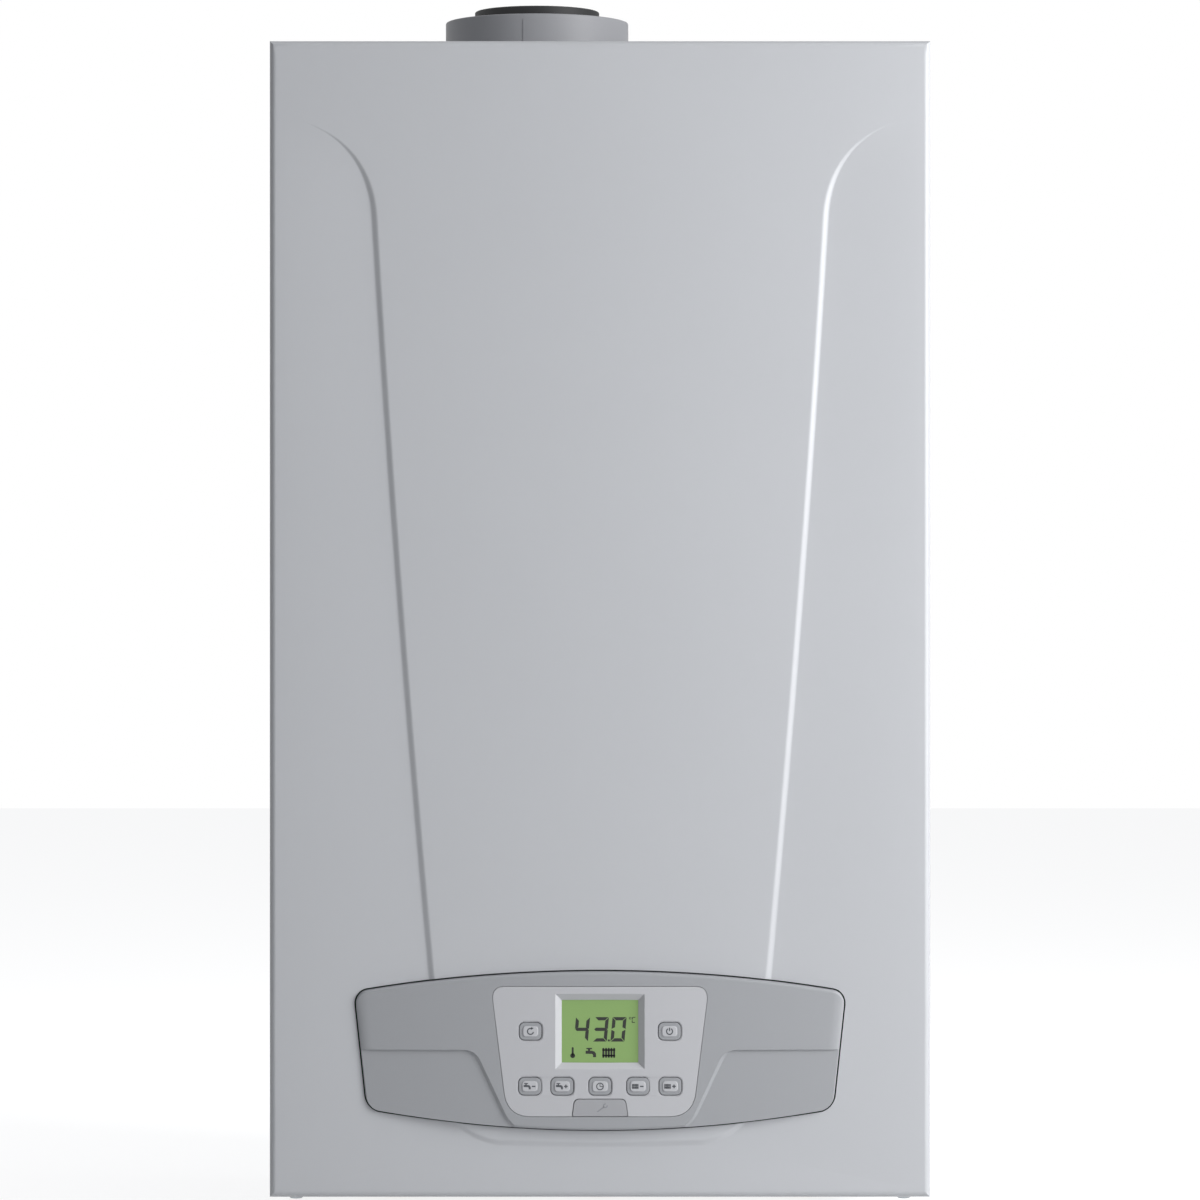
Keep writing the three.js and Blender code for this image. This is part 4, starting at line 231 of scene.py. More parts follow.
def ring_of(bm: bmesh.types.BMesh, places: Iterable[Vector]) -> list[bmesh.types.BMEdge]:
    """Start a form with one closed ring of edges.

    Args:
        bm: the bmesh.
        places: corner places in order.

    Returns:
        The ring's edges in order.
    """
    corners = [bm.verts.new(place) for place in places]
    return [bm.edges.new((corner, corners[(i + 1) % len(corners)])) for i, corner in enumerate(corners)]


def ring_corners(edges: list[bmesh.types.BMEdge]) -> list[bmesh.types.BMVert]:
    """The corners of a closed ring of edges, in the ring's order."""
    corners = []
    for i, edge in enumerate(edges):
        before = edges[i - 1]
        corners.append(next(corner for corner in edge.verts if corner in before.verts))
    return corners


def extrude_ring(bm: bmesh.types.BMesh, edges: list[bmesh.types.BMEdge],
                 places: list[Vector]) -> list[bmesh.types.BMEdge]:
    """Extrude a closed ring and set where its new corners lie.

    Args:
        bm: the bmesh.
        edges: the ring to extrude, in order.
        places: the new corners' places, in the same order as the ring's corners.

    Returns:
        The new ring's edges, in order.
    """
    old = ring_corners(edges)
    made = bmesh.ops.extrude_edge_only(bm, edges=edges)["geom"]
    fresh = {item for item in made if isinstance(item, bmesh.types.BMVert)}
    new = []
    for corner, place in zip(old, places):
        mate = next(edge.other_vert(corner) for edge in corner.link_edges if edge.other_vert(corner) in fresh)
        mate.co = place
        new.append(mate)
    return [bm.edges.get((corner, new[(i + 1) % len(new)])) for i, corner in enumerate(new)]


def lofted(rings: list[list[Vector]]) -> bmesh.types.BMesh:
    """A closed form through rings of equal count, by extruding the first ring along the others."""
    bm = bmesh.new()
    edges = ring_of(bm, rings[0])
    first = edges
    for places in rings[1:]:
        edges = extrude_ring(bm, edges, places)
    bmesh.ops.contextual_create(bm, geom=first)
    bmesh.ops.contextual_create(bm, geom=edges)
    bmesh.ops.recalc_face_normals(bm, faces=bm.faces)
    return bm


def drawn_out(outline: list[Point], front: float, back: float) -> bmesh.types.BMesh:
    """A flat (x, z) outline drawn out along Y.

    Args:
        outline: corners in order.
        front: the lower Y.
        back: the higher Y.

    Returns:
        The closed prism.
    """
    bm = bmesh.new()
    corners = [bm.verts.new((x, front, z)) for x, z in outline]
    face = bm.faces.new(corners)
    made = bmesh.ops.extrude_face_region(bm, geom=[face])["geom"]
    moved = [item for item in made if isinstance(item, bmesh.types.BMVert)]
    bmesh.ops.translate(bm, verts=moved, vec=(0, back - front, 0))
    bmesh.ops.recalc_face_normals(bm, faces=bm.faces)
    return bm


def turned_z(profile: list[Point], centre: Point, steps: int = 96) -> bmesh.types.BMesh:
    """A closed (radius, height) profile spun round a vertical axis.

    Args:
        profile: corners of the section in order, closed on itself.
        centre: the axis's x and y.
        steps: how many steps make the full turn.

    Returns:
        The spun form.
    """
    bm = bmesh.new()
    edges = ring_of(bm, [Vector((centre[0] + radius, centre[1], height)) for radius, height in profile])
    bmesh.ops.spin(bm, geom=[*bm.verts, *edges], cent=(centre[0], centre[1], 0), axis=(0, 0, 1),
                   angle=2 * math.pi, steps=steps, use_merge=True, use_duplicate=False)
    bmesh.ops.remove_doubles(bm, verts=bm.verts, dist=1e-6)
    bmesh.ops.recalc_face_normals(bm, faces=bm.faces)
    return bm


def turned_y(profile: list[Point], centre: Point, steps: int = 96) -> bmesh.types.BMesh:
    """A closed (radius, y) profile spun round a front-to-back axis.

    Args:
        profile: corners of the section in order, closed on itself, in millimetres.
        centre: the axis's x and z in millimetres.
        steps: how many steps make the full turn.

    Returns:
        The spun form.
    """
    bm = turned_z([(radius * MM, -y * MM) for radius, y in profile], (0, 0), steps)
    bmesh.ops.rotate(bm, verts=bm.verts, cent=(0, 0, 0), matrix=Matrix.Rotation(math.pi / 2, 3, "X"))
    bmesh.ops.translate(bm, verts=bm.verts, vec=Vector((centre[0], 0, centre[1])) * MM)
    return bm


def bow(start: Point, via: Point, end: Point, steps: int) -> list[Point]:
    """Points along a curve from start to end, pulled towards via."""
    points = []
    for i in range(steps + 1):
        t = i / steps
        weights = ((1 - t) ** 2, 2 * t * (1 - t), t * t)
        points.append(tuple(sum(w * p[k] for w, p in zip(weights, (start, via, end))) for k in (0, 1)))
    return points


def rounded(width: float, height: float, radius: float, centre: Point = (0, 0),
            steps: int = 8) -> list[Point]:
    """The outline of a rectangle with round corners, anticlockwise."""
    points = []
    for u, w, start in ((1, 1, 0), (-1, 1, 90), (-1, -1, 180), (1, -1, 270)):
        for step in range(steps + 1):
            turn = math.radians(start + 90 * step / steps)
            points.append((centre[0] + u * (width / 2 - radius) + radius * math.cos(turn),
                           centre[1] + w * (height / 2 - radius) + radius * math.sin(turn)))
    return points


def ease(t: float) -> float:
    """A smooth rise from 0 to 1."""
    t = min(1.0, max(0.0, t))
    return t * t * (3 - 2 * t)


def to_object(bm: bmesh.types.BMesh, name: str) -> bpy.types.Object:
    """Put a bmesh into the scene as an object at the origin, and free it."""
    mesh = bpy.data.meshes.new(name)
    bm.to_mesh(mesh)
    bm.free()
    obj = bpy.data.objects.new(name, mesh)
    bpy.context.scene.collection.objects.link(obj)
    return obj


def carve(body: bpy.types.Object, cutters: Iterable[bmesh.types.BMesh]) -> bpy.types.Object:
    """Cut closed forms out of a body, with the result applied to its mesh.

    Args:
        body: the object to cut.
        cutters: closed forms, which are used up.

    Returns:
        The same object.
    """
    tools = [to_object(cutter, f"cutter_{i}") for i, cutter in enumerate(cutters)]
    for tool in tools:
        modifier = body.modifiers.new("cut", "BOOLEAN")
        modifier.operation = "DIFFERENCE"
        modifier.solver = "EXACT"
        modifier.object = tool
    apply_modifiers(body)
    for tool in tools:
        bpy.data.objects.remove(tool, do_unlink=True)
    return body


def apply_modifiers(obj: bpy.types.Object) -> None:
    """Apply all of an object's modifiers to its mesh."""
    bpy.context.view_layer.update()
    evaluated = obj.evaluated_get(bpy.context.evaluated_depsgraph_get())
    mesh = bpy.data.meshes.new_from_object(evaluated)
    obj.modifiers.clear()
    obj.data = mesh
    mesh.name = obj.name


def soften(obj: bpy.types.Object, width: float, segments: int = 2, angle: float = 35) -> None:
    """Round the sharp edges of an object and apply it.

    Args:
        obj: the object.
        width: width of the rounding in metres.
        segments: facets across it.
        angle: edges sharper than this many degrees are rounded.
    """
    bevel = obj.modifiers.new("soft_edges", "BEVEL")
    bevel.width = width
    bevel.segments = segments
    bevel.limit_method = "ANGLE"
    bevel.angle_limit = math.radians(angle)
    bevel.use_clamp_overlap = True
    apply_modifiers(obj)


def shade(obj: bpy.types.Object, angle: float = 30) -> None:
    """Shade an object smooth, with large faces kept flat and edges over the angle in degrees crisp."""
    obj.data.shade_smooth()
    obj.data.set_sharp_from_angle(angle=math.radians(angle))
    weighted = obj.modifiers.new("even_faces", "WEIGHTED_NORMAL")
    weighted.mode = "FACE_AREA_WITH_ANGLE"
    weighted.weight = 80
    weighted.keep_sharp = True
    apply_modifiers(obj)


def place(obj: bpy.types.Object, finish: Finish, body: str, slot: str, *nodes: str) -> bpy.types.Object:
    """Give a piece its finish and its body, and hide the CAD nodes that it stands for.

    Args:
        obj: the finished piece.
        finish: its surface finish.
        body: the body that it rides on.
        slot: the record's material slot; not used.
        *nodes: CAD nodes that it replaces.

    Returns:
        The piece.
    """
    obj.data.materials.clear()
    obj.data.materials.append(finish.material())
    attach(obj, body)
    if nodes:
        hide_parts(*nodes)
    LOG.info("%s rides on %s", obj.name, body)
    return obj


def combine(body: bpy.types.Object, tool_form: bmesh.types.BMesh, operation: str) -> bpy.types.Object:
    """Join a closed form to a body, or keep only what both hold.

    Args:
        body: the object to change.
        tool_form: the closed form, which is used up.
        operation: UNION or INTERSECT.

    Returns:
        The same object.
    """
    tool = to_object(tool_form, "tool")
    modifier = body.modifiers.new("combine", "BOOLEAN")
    modifier.operation = operation
    modifier.solver = "EXACT"
    modifier.object = tool
    apply_modifiers(body)
    bpy.data.objects.remove(tool, do_unlink=True)
    return body


def at_mm(points: Iterable[Iterable[float]]) -> list[Vector]:
    """Points in millimetres as places in metres."""
    return [Vector(point) * MM for point in points]


# ---------------------------------------------------------------- pressed front casing

@dataclass
class FrontCasing:
    """The pressed steel front: a tray with folded sides, a pressed step and the fascia's window."""

    half_width: float = 200.0
    half_height: float = 350.0
    depth: float = 293.0
    wall: float = 1.0
    returns: float = 29.0
    fold: float = 4.0
    relief: float = 1.5
    band: float = 4.5
    field_corner: Point = (194.0, 344.0)
    top: Point = (184.0, 302.0)
    shoulder: tuple[Point, Point] = ((143.0, 290.0), (139.0, 245.0))
    side: tuple[Point, Point] = ((126.0, 20.0), (104.7, -212.0))
    corner_start: Point = (96.0, -289.0)
    corner: tuple[Point, Point] = ((90.0, -314.5), (62.0, -319.0))
    lowest: float = -320.0
    screw_x: float = 185.0
    screw_y: float = -272.0

    def half_contour(self) -> list[tuple[float, float, float, Point]]:
        """The right half of the step's foot: x, z, share of the full step, and its point on the edge."""
        rise = [(self.field_corner[0] + (self.top[0] - self.field_corner[0]) * i / 8,
                 self.field_corner[1] + (self.top[1] - self.field_corner[1]) * i / 8) for i in range(8)]
        shoulder = bow(self.top, *self.shoulder, 28)
        side = bow(self.shoulder[1], *self.side, 60)[1:]
        corner = bow(self.corner_start, *self.corner, 20)
        foot_x, foot_z = self.corner[1]
        points = []
        for i, (x, z) in enumerate([*rise, *shoulder, *side, *corner]):
            fade = ease((i - len(rise)) / (len(shoulder) - 1))
            share = (self.field_corner[1] - z) / (self.field_corner[1] - foot_z)
            points.append((x, z, fade, (1.0, 1 - 2 * share)))
        for i in range(9, -1, -1):
            share = i / 10
            points.append((foot_x * share, self.lowest + (foot_z - self.lowest) * share * share, 1.0,
                           (share, -1.0)))
        return points

    def top_edge(self) -> list[tuple[float, float, float, Point]]:
        """The points across the top of the field, where there is no step."""
        steps = 24
        return [(self.field_corner[0] * (2 * i / steps - 1), self.field_corner[1], 0.0,
                 (2 * i / steps - 1, 1.0)) for i in range(1, steps)]

    def contour(self) -> list[tuple[float, float, float, Point]]:
        """The whole closed foot of the step."""
        half = self.half_contour()
        mirrored = [(-x, z, fade, (-edge[0], edge[1])) for x, z, fade, edge in reversed(half[:-1])]
        return [*half, *mirrored, *self.top_edge()]

    def block(self, inset: float, back: float) -> bmesh.types.BMesh:
        """The casing's outer form as a block, or its hollow when drawn in by the wall.

        Args:
            inset: how far the form is drawn in, in millimetres.
            back: where the block ends, in millimetres.

        Returns:
            The closed block.
        """
        contour = self.contour()
        front = -self.depth + inset
        fold = self.fold - inset

        def rim(drawn: float, y: float) -> list[Vector]:
            """The outer edge, drawn in further, at one depth."""
            return at_mm((edge[0] * (self.half_width - inset - drawn), y,
                          edge[1] * (self.half_height - inset - drawn)) for _, _, _, edge in contour)

        rings = [rim(0, back)]
        for step in range(9):
            turn = math.pi / 2 * step / 8
            rings.append(rim(fold * (1 - math.cos(turn)), front + fold * (1 - math.sin(turn))))
        border = rings[-1]
        foot = at_mm((x, front + self.relief * fade, z) for x, z, fade, _ in contour)
        for step in range(1, 9):
            t = step / 8
            sink = 0.45 * t + 0.55 * ease(t)
            rings.append([Vector((a.x + (b.x - a.x) * t, a.y + (b.y - a.y) * sink, a.z + (b.z - a.z) * t))
                          for a, b in zip(border, foot)])
        for step in range(1, 10):
            # The last two rings lie flat on the field, so that its shading stays even.
            t = step / 7
            ring = []
            for i, (x, z, fade, _) in enumerate(contour):
                before = contour[i - 1]
                after = contour[(i + 1) % len(contour)]
                inward = Vector((after[1] - before[1], before[0] - after[0])).normalized()
                reach = self.band * (0.15 + 0.85 * fade) * t
                ring.append((x + inward.x * reach, front + self.relief * fade * (1 - ease(t)),
                             z + inward.y * reach))
            rings.append(at_mm(ring))
        return lofted(rings)

    def build(self, fascia: Fascia) -> None:
        """Model the casing with the holes for its two screws.

        Args:
            fascia: the moulded face, whose outline the window follows.
        """
        back = -self.depth + self.returns
        casing = to_object(self.block(0, back), "front_casing_pressed")
        holes = [turned_z([(0.0001, -0.352), (0.0024, -0.352), (0.0024, -0.346), (0.0001, -0.346)],
                          (side * self.screw_x * MM, self.screw_y * MM), 32) for side in (-1, 1)]
        window = drawn_out([(x * MM, z * MM) for x, z in fascia.outline(fascia.gap)],
                           -(self.depth + 10) * MM, (back + 2) * MM)
        carve(casing, [self.block(self.wall, back + 5), window, *holes])
        soften(casing, 0.0004, 3, 60)
        shade(casing, 28)
        place(casing, POWDER_COAT, "casing", "paint", "front_casing")


# ---------------------------------------------------------------- fascia

@dataclass
class Fascia:
    """The moulded grey face of the control box, crowned across, with its lower wings a step back."""

    top: float = -213.1
    bottom: float = -308.8
    half: float = 148.5
    corner: float = 7.5
    taper: float = 0.107
    arch: float = 12.5
    crown_y: float = -299.0
    crown: float = 4.0
    edge: float = 2.0
    back: float = -286.3
    gap: float = 0.9
    wing_step: float = 1.5
    wing_line: float = -260.3
    wing_corner: float = 77.4
    wing_foot: float = 58.0
    wing_round: float = 7.0
    wing_lean: float = 1.4
    rib: float = 2.5
    pocket_from: float = 70.1
    pocket_to: float = 131.5
    pocket_floor: float = -291.5

    def columns(self, grow: float, corner_steps: int = 8, middle: int = 48) -> list[tuple[float, float]]:
        """Columns across the face: place before the taper, and how far the corners draw its ends in."""
        half = self.half + grow
        corner = self.corner + grow
        turns = [math.pi / 2 * i / corner_steps for i in range(corner_steps)]
        left = [(-(half - corner) - corner * math.cos(turn), 1 - math.sin(turn)) for turn in turns]
        across = [((half - corner) * (2 * i / middle - 1), 0.0) for i in range(middle + 1)]
        return [*left, *across, *((-x, drawn) for x, drawn in reversed(left))]

    def tapered(self, x: float, z: float) -> float:
        """Where a column's point lies once the face narrows downwards."""
        return x * (1 - self.taper * (self.top - self.arch - z) / self.half)

    def crown_at(self, x: float) -> float:
        """Depth of the crowned face at a place across."""
        return self.crown_y + self.crown * (x / self.half) ** 2

    def ends(self, x: float, drawn: float, grow: float) -> Point:
        """Top and bottom of the face at a column."""
        rise = self.arch * (x / self.half) ** 2
        corner = (self.corner + grow) * drawn
        return self.top + grow - rise - corner, self.bottom - grow + rise + corner

    def outline(self, grow: float) -> list[Point]:
        """The face's outline grown by a gap, anticlockwise from the lower left."""
        columns = self.columns(grow)
        lower = [(x, self.ends(x, drawn, grow)[1]) for x, drawn in columns]
        upper = [(x, self.ends(x, drawn, grow)[0]) for x, drawn in reversed(columns)]
        return [(self.tapered(x, z), z) for x, z in (*lower, *upper)]

    def body(self) -> bmesh.types.BMesh:
        """The moulding before its pockets: sections along X with round front edges."""
        rings = []
        for x, drawn in self.columns(0):
            top, bottom = self.ends(x, drawn, 0)
            front = self.crown_at(x) + self.edge * drawn
            half = [(self.back, bottom)]
            for step in range(7):
                turn = math.pi / 2 * step / 6
                half.append((front + self.edge * (1 - math.sin(turn)),
                             bottom + self.edge * (1 - math.cos(turn))))
            ring = [*half, *((y, top - (z - bottom)) for y, z in reversed(half))]
            rings.append(at_mm((self.tapered(x, z), y, z) for y, z in ring))
        return lofted(rings)

    def crown_slab(self, near: float, far: float, low: float, high: float, start: float,
                   end: float) -> bmesh.types.BMesh:
        """A layer that follows the crown.

        Args:
            near: lowest X in millimetres.
            far: highest X.
            low: lowest Z.
            high: highest Z.
            start: front of the layer behind the face.
            end: back of the layer behind the face.

        Returns:
            The closed layer.
        """
        steps = 32
        xs = [near + (far - near) * i / steps for i in range(steps + 1)]
        section = [(x, self.crown_at(x) + start) for x in xs]
        section += [(x, self.crown_at(x) + end) for x in reversed(xs)]
        bm = bmesh.new()
        face = bm.faces.new([bm.verts.new(Vector((x, y, low)) * MM) for x, y in section])
        made = bmesh.ops.extrude_face_region(bm, geom=[face])["geom"]
        moved = [item for item in made if isinstance(item, bmesh.types.BMVert)]
        bmesh.ops.translate(bm, verts=moved, vec=(0, 0, (high - low) * MM))
        bmesh.ops.recalc_face_normals(bm, faces=bm.faces)
        return bm

    def wing_outline(self, side: int, drawn: float) -> list[Point]:
        """What a lower wing covers seen from the front, with a round inner corner.

        Args:
            side: 1 for the right wing, -1 for the left.
            drawn: how far the slope down to the cap is moved outwards.

        Returns:
            Corners in metres.
        """
        reach = self.half + 20
        foot = (self.wing_foot + drawn, self.bottom + 6)
        knee = (self.wing_corner + drawn, self.wing_line)
        lean = Vector((foot[0] - knee[0], foot[1] - knee[1])).normalized() * self.wing_round
        turn = bow((knee[0] + self.wing_round, knee[1]), knee, (knee[0] + lean.x, knee[1] + lean.y), 10)
        flare = bow((foot[0] - lean.x * 0.6, foot[1] - lean.y * 0.6), foot, (foot[0] - 6, foot[1] - 5), 6)
        points = [(reach, self.wing_line), *turn, *flare, (foot[0] - 6, self.bottom - 20),
                  (reach, self.bottom - 20)]
        return [(side * x * MM, z * MM) for x, z in points]

    def wing(self, side: int) -> bmesh.types.BMesh:
        """What the step takes off one lower wing: a layer of the crown inside the wing's outline."""
        deep = self.crown_at(self.wing_corner) + self.wing_step
        rings = []
        for y in (deep + 6, deep, deep - 8):
            outline = self.wing_outline(side, self.wing_lean * min(0.0, y - deep))
            rings.append([Vector((x, y * MM, z)) for x, z in outline])
        reach = self.half + 30
        slab = to_object(self.crown_slab(-reach, reach, self.bottom - 25, self.wing_line + 10, -5,
                                         self.wing_step), "wing_layer")
        combine(slab, lofted(rings), "INTERSECT")
        bm = bmesh.new()
        bm.from_mesh(slab.data)
        bpy.data.objects.remove(slab, do_unlink=True)
        return bm

    def build(self, keypad: Keypad) -> None:
        """Model the fascia round the keypad.

        Args:
            keypad: the plate that its ledge holds.
        """
        fascia = to_object(self.body(), "fascia_moulding")
        carve(fascia, [self.wing(-1), self.wing(1)])
        ledge = keypad.thick + keypad.seat
        seat = to_object(self.crown_slab(-keypad.half_top - 8, keypad.half_top + 8, keypad.bottom - 5,
                                         keypad.top + 5, -5, ledge), "keypad_seat")
        combine(seat, keypad.prism(keypad.outline(keypad.seat), 30), "INTERSECT")
        sunk = bmesh.new()
        sunk.from_mesh(seat.data)
        bpy.data.objects.remove(seat, do_unlink=True)
        plug_half, plug_low, plug_high = keypad.plug_box(keypad.run)
        plug = [(-plug_half, plug_low), (plug_half, plug_low),
                (plug_half, plug_high), (-plug_half, plug_high)]
        through = [keypad.prism(keypad.opening(), 40), keypad.prism(plug, 40)]
        carve(fascia, [sunk, *through, *self.pockets()])
        soften(fascia, 0.0005)
        shade(fascia)
        place(fascia, FASCIA_ABS, "control", "fascia_grey", "fascia")

    def pockets(self) -> list[bmesh.types.BMesh]:
        """The hollows in each wing's back, with ribs between them."""
        width = (self.pocket_to - self.pocket_from + self.rib) / 2 - self.rib
        low, high = self.bottom + self.arch + 9, self.top - self.arch - 9
        hollows = []
        for side in (-1, 1):
            for i in range(2):
                near = side * (self.pocket_from + i * (width + self.rib))
                far = near + side * width
                corners = [(near, low), (far, low), (far, high), (near, high)]
                hollows.append(drawn_out([(x * MM, z * MM) for x, z in corners], self.pocket_floor * MM,
                                         (self.back + 2) * MM))
        return hollows


def keystone(top: float, bottom: float, half_top: float, half_bottom: float, top_corner: float,
             bottom_corner: float, steps: int = 10) -> list[Point]:
    """A keystone outline with round corners, anticlockwise from the lower right, in millimetres."""
    slope = (half_top - half_bottom) / (top - bottom)

    def side(z: float) -> float:
        """Half the outline's width at a height."""
        return half_top - slope * (top - z)

    right = bow((side(bottom + bottom_corner), bottom + bottom_corner), (half_bottom, bottom),
                (half_bottom - bottom_corner, bottom), steps)[::-1]
    upper = bow((side(top - top_corner), top - top_corner), (half_top, top),
                (half_top - top_corner, top), steps)
    half = [*right, *upper]
    return [*half, *((-x, z) for x, z in reversed(half))]


# ---------------------------------------------------------------- keypad, keys and display

@dataclass
class Keypad:
    """The lighter plate on the fascia, with the display's window, seven keys and the service cap."""

    fascia: Fascia
    top: float = -222.0
    bottom: float = -300.4
    half_top: float = 65.6
    half_bottom: float = 56.0
    corners: Point = (8.5, 14.5)
    thick: float = 3.0
    window_half: float = 23.2
    window_top: float = -230.2
    window_bottom: float = -268.1
    bevel: float = 4.0
    key_size: Point = (13.5, 10.6)
    key_corner: float = 3.2
    run: float = 0.35
    seat: float = 0.3
    ledge: float = 4.0
    rim: float = 1.0
    rim_depth: float = 0.5
    rim_width: float = 2.1
    pad_rise: float = 0.55
    skirt: float = 5.3
    rim_round: float = 0.5
    pad_round: float = 0.6
    cap_height: float = 10.4
    cap_halves: Point = (15.3, 16.8)
    keys: dict[str, Point] = field(default_factory=lambda: {
        "reset": (-42.0, -249.0), "power": (42.0, -249.0), "tap_minus": (-42.4, -282.2),
        "tap_plus": (-22.9, -282.2), "program": (0.0, -282.2), "radiator_minus": (22.9, -282.2),
        "radiator_plus": (42.4, -282.2)})

    def outline(self, grow: float) -> list[Point]:
        """The plate's outline, grown by a gap."""
        return keystone(self.top + grow, self.bottom - grow, self.half_top + grow, self.half_bottom + grow,
                        self.corners[0] + grow, self.corners[1] + grow)

    def cap_outline(self, grow: float) -> list[Point]:
        """The service cap's outline, grown by a gap."""
        return keystone(self.bottom + self.cap_height + grow, self.bottom - grow, self.cap_halves[0] + grow,
                        self.cap_halves[1] + grow, 3, 1.5, 6)

    def opening(self) -> list[Point]:
        """The fascia's opening behind the plate, a ledge's width inside its outline."""
        return keystone(self.top - self.ledge, self.bottom + self.cap_height + self.run,
                        self.half_top - self.ledge, self.half_bottom - self.ledge + 1, 3, 3, 6)

    def plug_box(self, grow: float) -> tuple[float, float, float]:
        """Half width, foot and top of the service cap's plug, grown by a gap."""
        middle = self.bottom + self.cap_height / 2
        return 9 + grow, middle - 2.5 - grow, middle + 2.5 + grow

    def prism(self, outline: list[Point], depth: float) -> bmesh.types.BMesh:
        """A cutter from in front of the plate to a depth behind its highest point."""
        return drawn_out([(x * MM, z * MM) for x, z in outline], -0.305, (self.fascia.crown_y + depth) * MM)

    def window(self) -> bmesh.types.BMesh:
        """The display's opening with its four sloping sides."""
        def ring(grow: float, y: float) -> list[Vector]:
            """The window's corners, grown, at one depth."""
            half = self.window_half + grow
            low, high = self.window_bottom - grow, self.window_top + grow
            return at_mm([(-half, y, low), (half, y, low), (half, y, high), (-half, y, high)])
        front = self.fascia.crown_y
        return lofted([ring(-self.bevel * 0.15, front + self.thick + 0.5),
                       ring(self.bevel * 1.15, front - 0.5)])

    def plate(self) -> None:
        """Model the plate with its window, key recesses and cap notch."""
        span = self.half_top + 8
        slab = self.fascia.crown_slab(-span, span, self.bottom - 5, self.top + 5, 0, self.thick)
        plate = to_object(slab, "keypad_moulding")
        combine(plate, self.prism(self.outline(0), 20), "INTERSECT")
        width, height = self.key_size
        shallow = []
        for left, right in (("tap_minus", "tap_plus"), ("radiator_minus", "radiator_plus")):
            (x0, z), (x1, _) = self.keys[left], self.keys[right]
            outline = rounded(x1 - x0 + width, height + 0.8, self.key_corner, ((x0 + x1) / 2, z))
            middle = self.fascia.crown_at((x0 + x1) / 2)
            shallow.append(self.prism(outline, middle - self.fascia.crown_y + 0.35))
        carve(plate, shallow)
        recesses = []
        holes = []
        for x, z in self.keys.values():
            grow = 2 * self.rim
            fall = self.fascia.crown_at(x) - self.fascia.crown_y
            recess = rounded(width + grow, height + grow, self.key_corner + self.rim, (x, z))
            recesses.append(self.prism(recess, fall + self.rim_depth))
            holes.append(self.prism(rounded(width + 2 * self.run, height + 2 * self.run,
                                            self.key_corner + self.run, (x, z)), 20))
        carve(plate, recesses)
        carve(plate, [self.window(), self.prism(self.cap_outline(self.run), 20), *holes])
        soften(plate, 0.00035)
        shade(plate)
        place(plate, KEYPAD_ABS, "control", "keypad_grey", "keypad_plate")

    def pillow(self, centre: Point, shrink: float, profile: list[Point]) -> bmesh.types.BMesh:
        """A form through key outlines of one centre.

        Args:
            centre: the key's middle in x and z.
            shrink: how much narrower and lower than the key its widest outline is.
            profile: how far each outline is drawn in, and its Y, from the back to the front.

        Returns:
            The closed form.
        """
        width, height = (size - shrink for size in self.key_size)
        rings = []
        for drawn, y in profile:
            outline = rounded(width - 2 * drawn, height - 2 * drawn, self.key_corner - 0.3 * shrink - drawn,
                              centre, 6)
            rings.append(at_mm((x, y, z) for x, z in outline))
        return lofted(rings)

    @staticmethod
    def quarter_round(front: float, radius: float) -> list[Point]:
        """A quarter round: how far it is drawn in, and its Y, from the side to the front."""
        turns = [math.pi / 2 * i / 5 for i in range(6)]
        return [(radius * (1 - math.cos(t)), front + radius * (1 - math.sin(t))) for t in turns]

    def key(self, name: str, centre: Point) -> None:
        """Model one key: a rim painted darker than the pad, partly as shade round the pad, with its collar
        and stem, and the pale pad in the rim.

        Args:
            name: what the key is for.
            centre: its middle in x and z.
        """
        width, height = self.key_size
        face = self.key_face(name) + self.pad_rise
        side = [(0.0, face + self.skirt), *self.quarter_round(face, self.rim_round)]
        rim = to_object(self.pillow(centre, 0, [*side, (self.rim_width - 0.3, face)]), f"key_{name}_rim")
        collar = self.fascia.crown_at(centre[0]) + self.thick + 0.5
        flange = rounded(width + 2, height + 2, self.key_corner, centre, 4)
        combine(rim, drawn_out([(x * MM, z * MM) for x, z in flange], collar * MM, (collar + 1.5) * MM),
                "UNION")
        stem = rounded(4, 4, 0.8, centre, 2)
        combine(rim, drawn_out([(x * MM, z * MM) for x, z in stem], (collar + 1) * MM, -0.2678), "UNION")
        shade(rim)
        # The rim's darker grey is partly painted shade of the groove round the pad.
        place(rim, KEY_RIM_ABS_AND_SHADE, f"key_{name}", "button_grey", f"button_{name}")
        crest = self.key_face(name)
        side = [(0.0, face + 0.2), *self.quarter_round(crest, self.pad_round)]
        pad = to_object(self.pillow(centre, 2 * self.rim_width, side), f"key_{name}_pad")
        shade(pad)
        place(pad, KEY_ABS, f"key_{name}", "button_grey")

    def key_face(self, name: str) -> float:
        """Y of the front of a key's pad, in millimetres."""
        return self.fascia.crown_at(self.keys[name][0]) - 0.2

    def cap(self) -> None:
        """Model the service cap with its plug behind."""
        front = self.fascia.crown_y
        cap = to_object(drawn_out([(x * MM, z * MM) for x, z in self.cap_outline(0)], front * MM,
                                  (front + self.thick - 0.5) * MM), "service_cap_moulding")
        half, low, high = self.plug_box(0)
        plug = [(-half, low), (half, low), (half, high), (-half, high)]
        combine(cap, drawn_out([(x * MM, z * MM) for x, z in plug], (front + 1) * MM, (front + 9) * MM),
                "UNION")
        soften(cap, 0.0004)
        shade(cap)
        place(cap, CAP_ABS, "cap", "fascia_grey", "service_cap")

    def build(self) -> None:
        """Model the plate, its keys and the cap."""
        self.plate()
        for name, centre in self.keys.items():
            self.key(name, centre)
        self.cap()


SEGMENTS = {"0": "abcdef", "1": "bc", "2": "abged", "3": "abgcd", "4": "fgbc", "5": "afgcd",
            "6": "afgedc", "7": "abc", "8": "abcdefg", "9": "abcdfg", "C": "afed", "o": "abgf"}


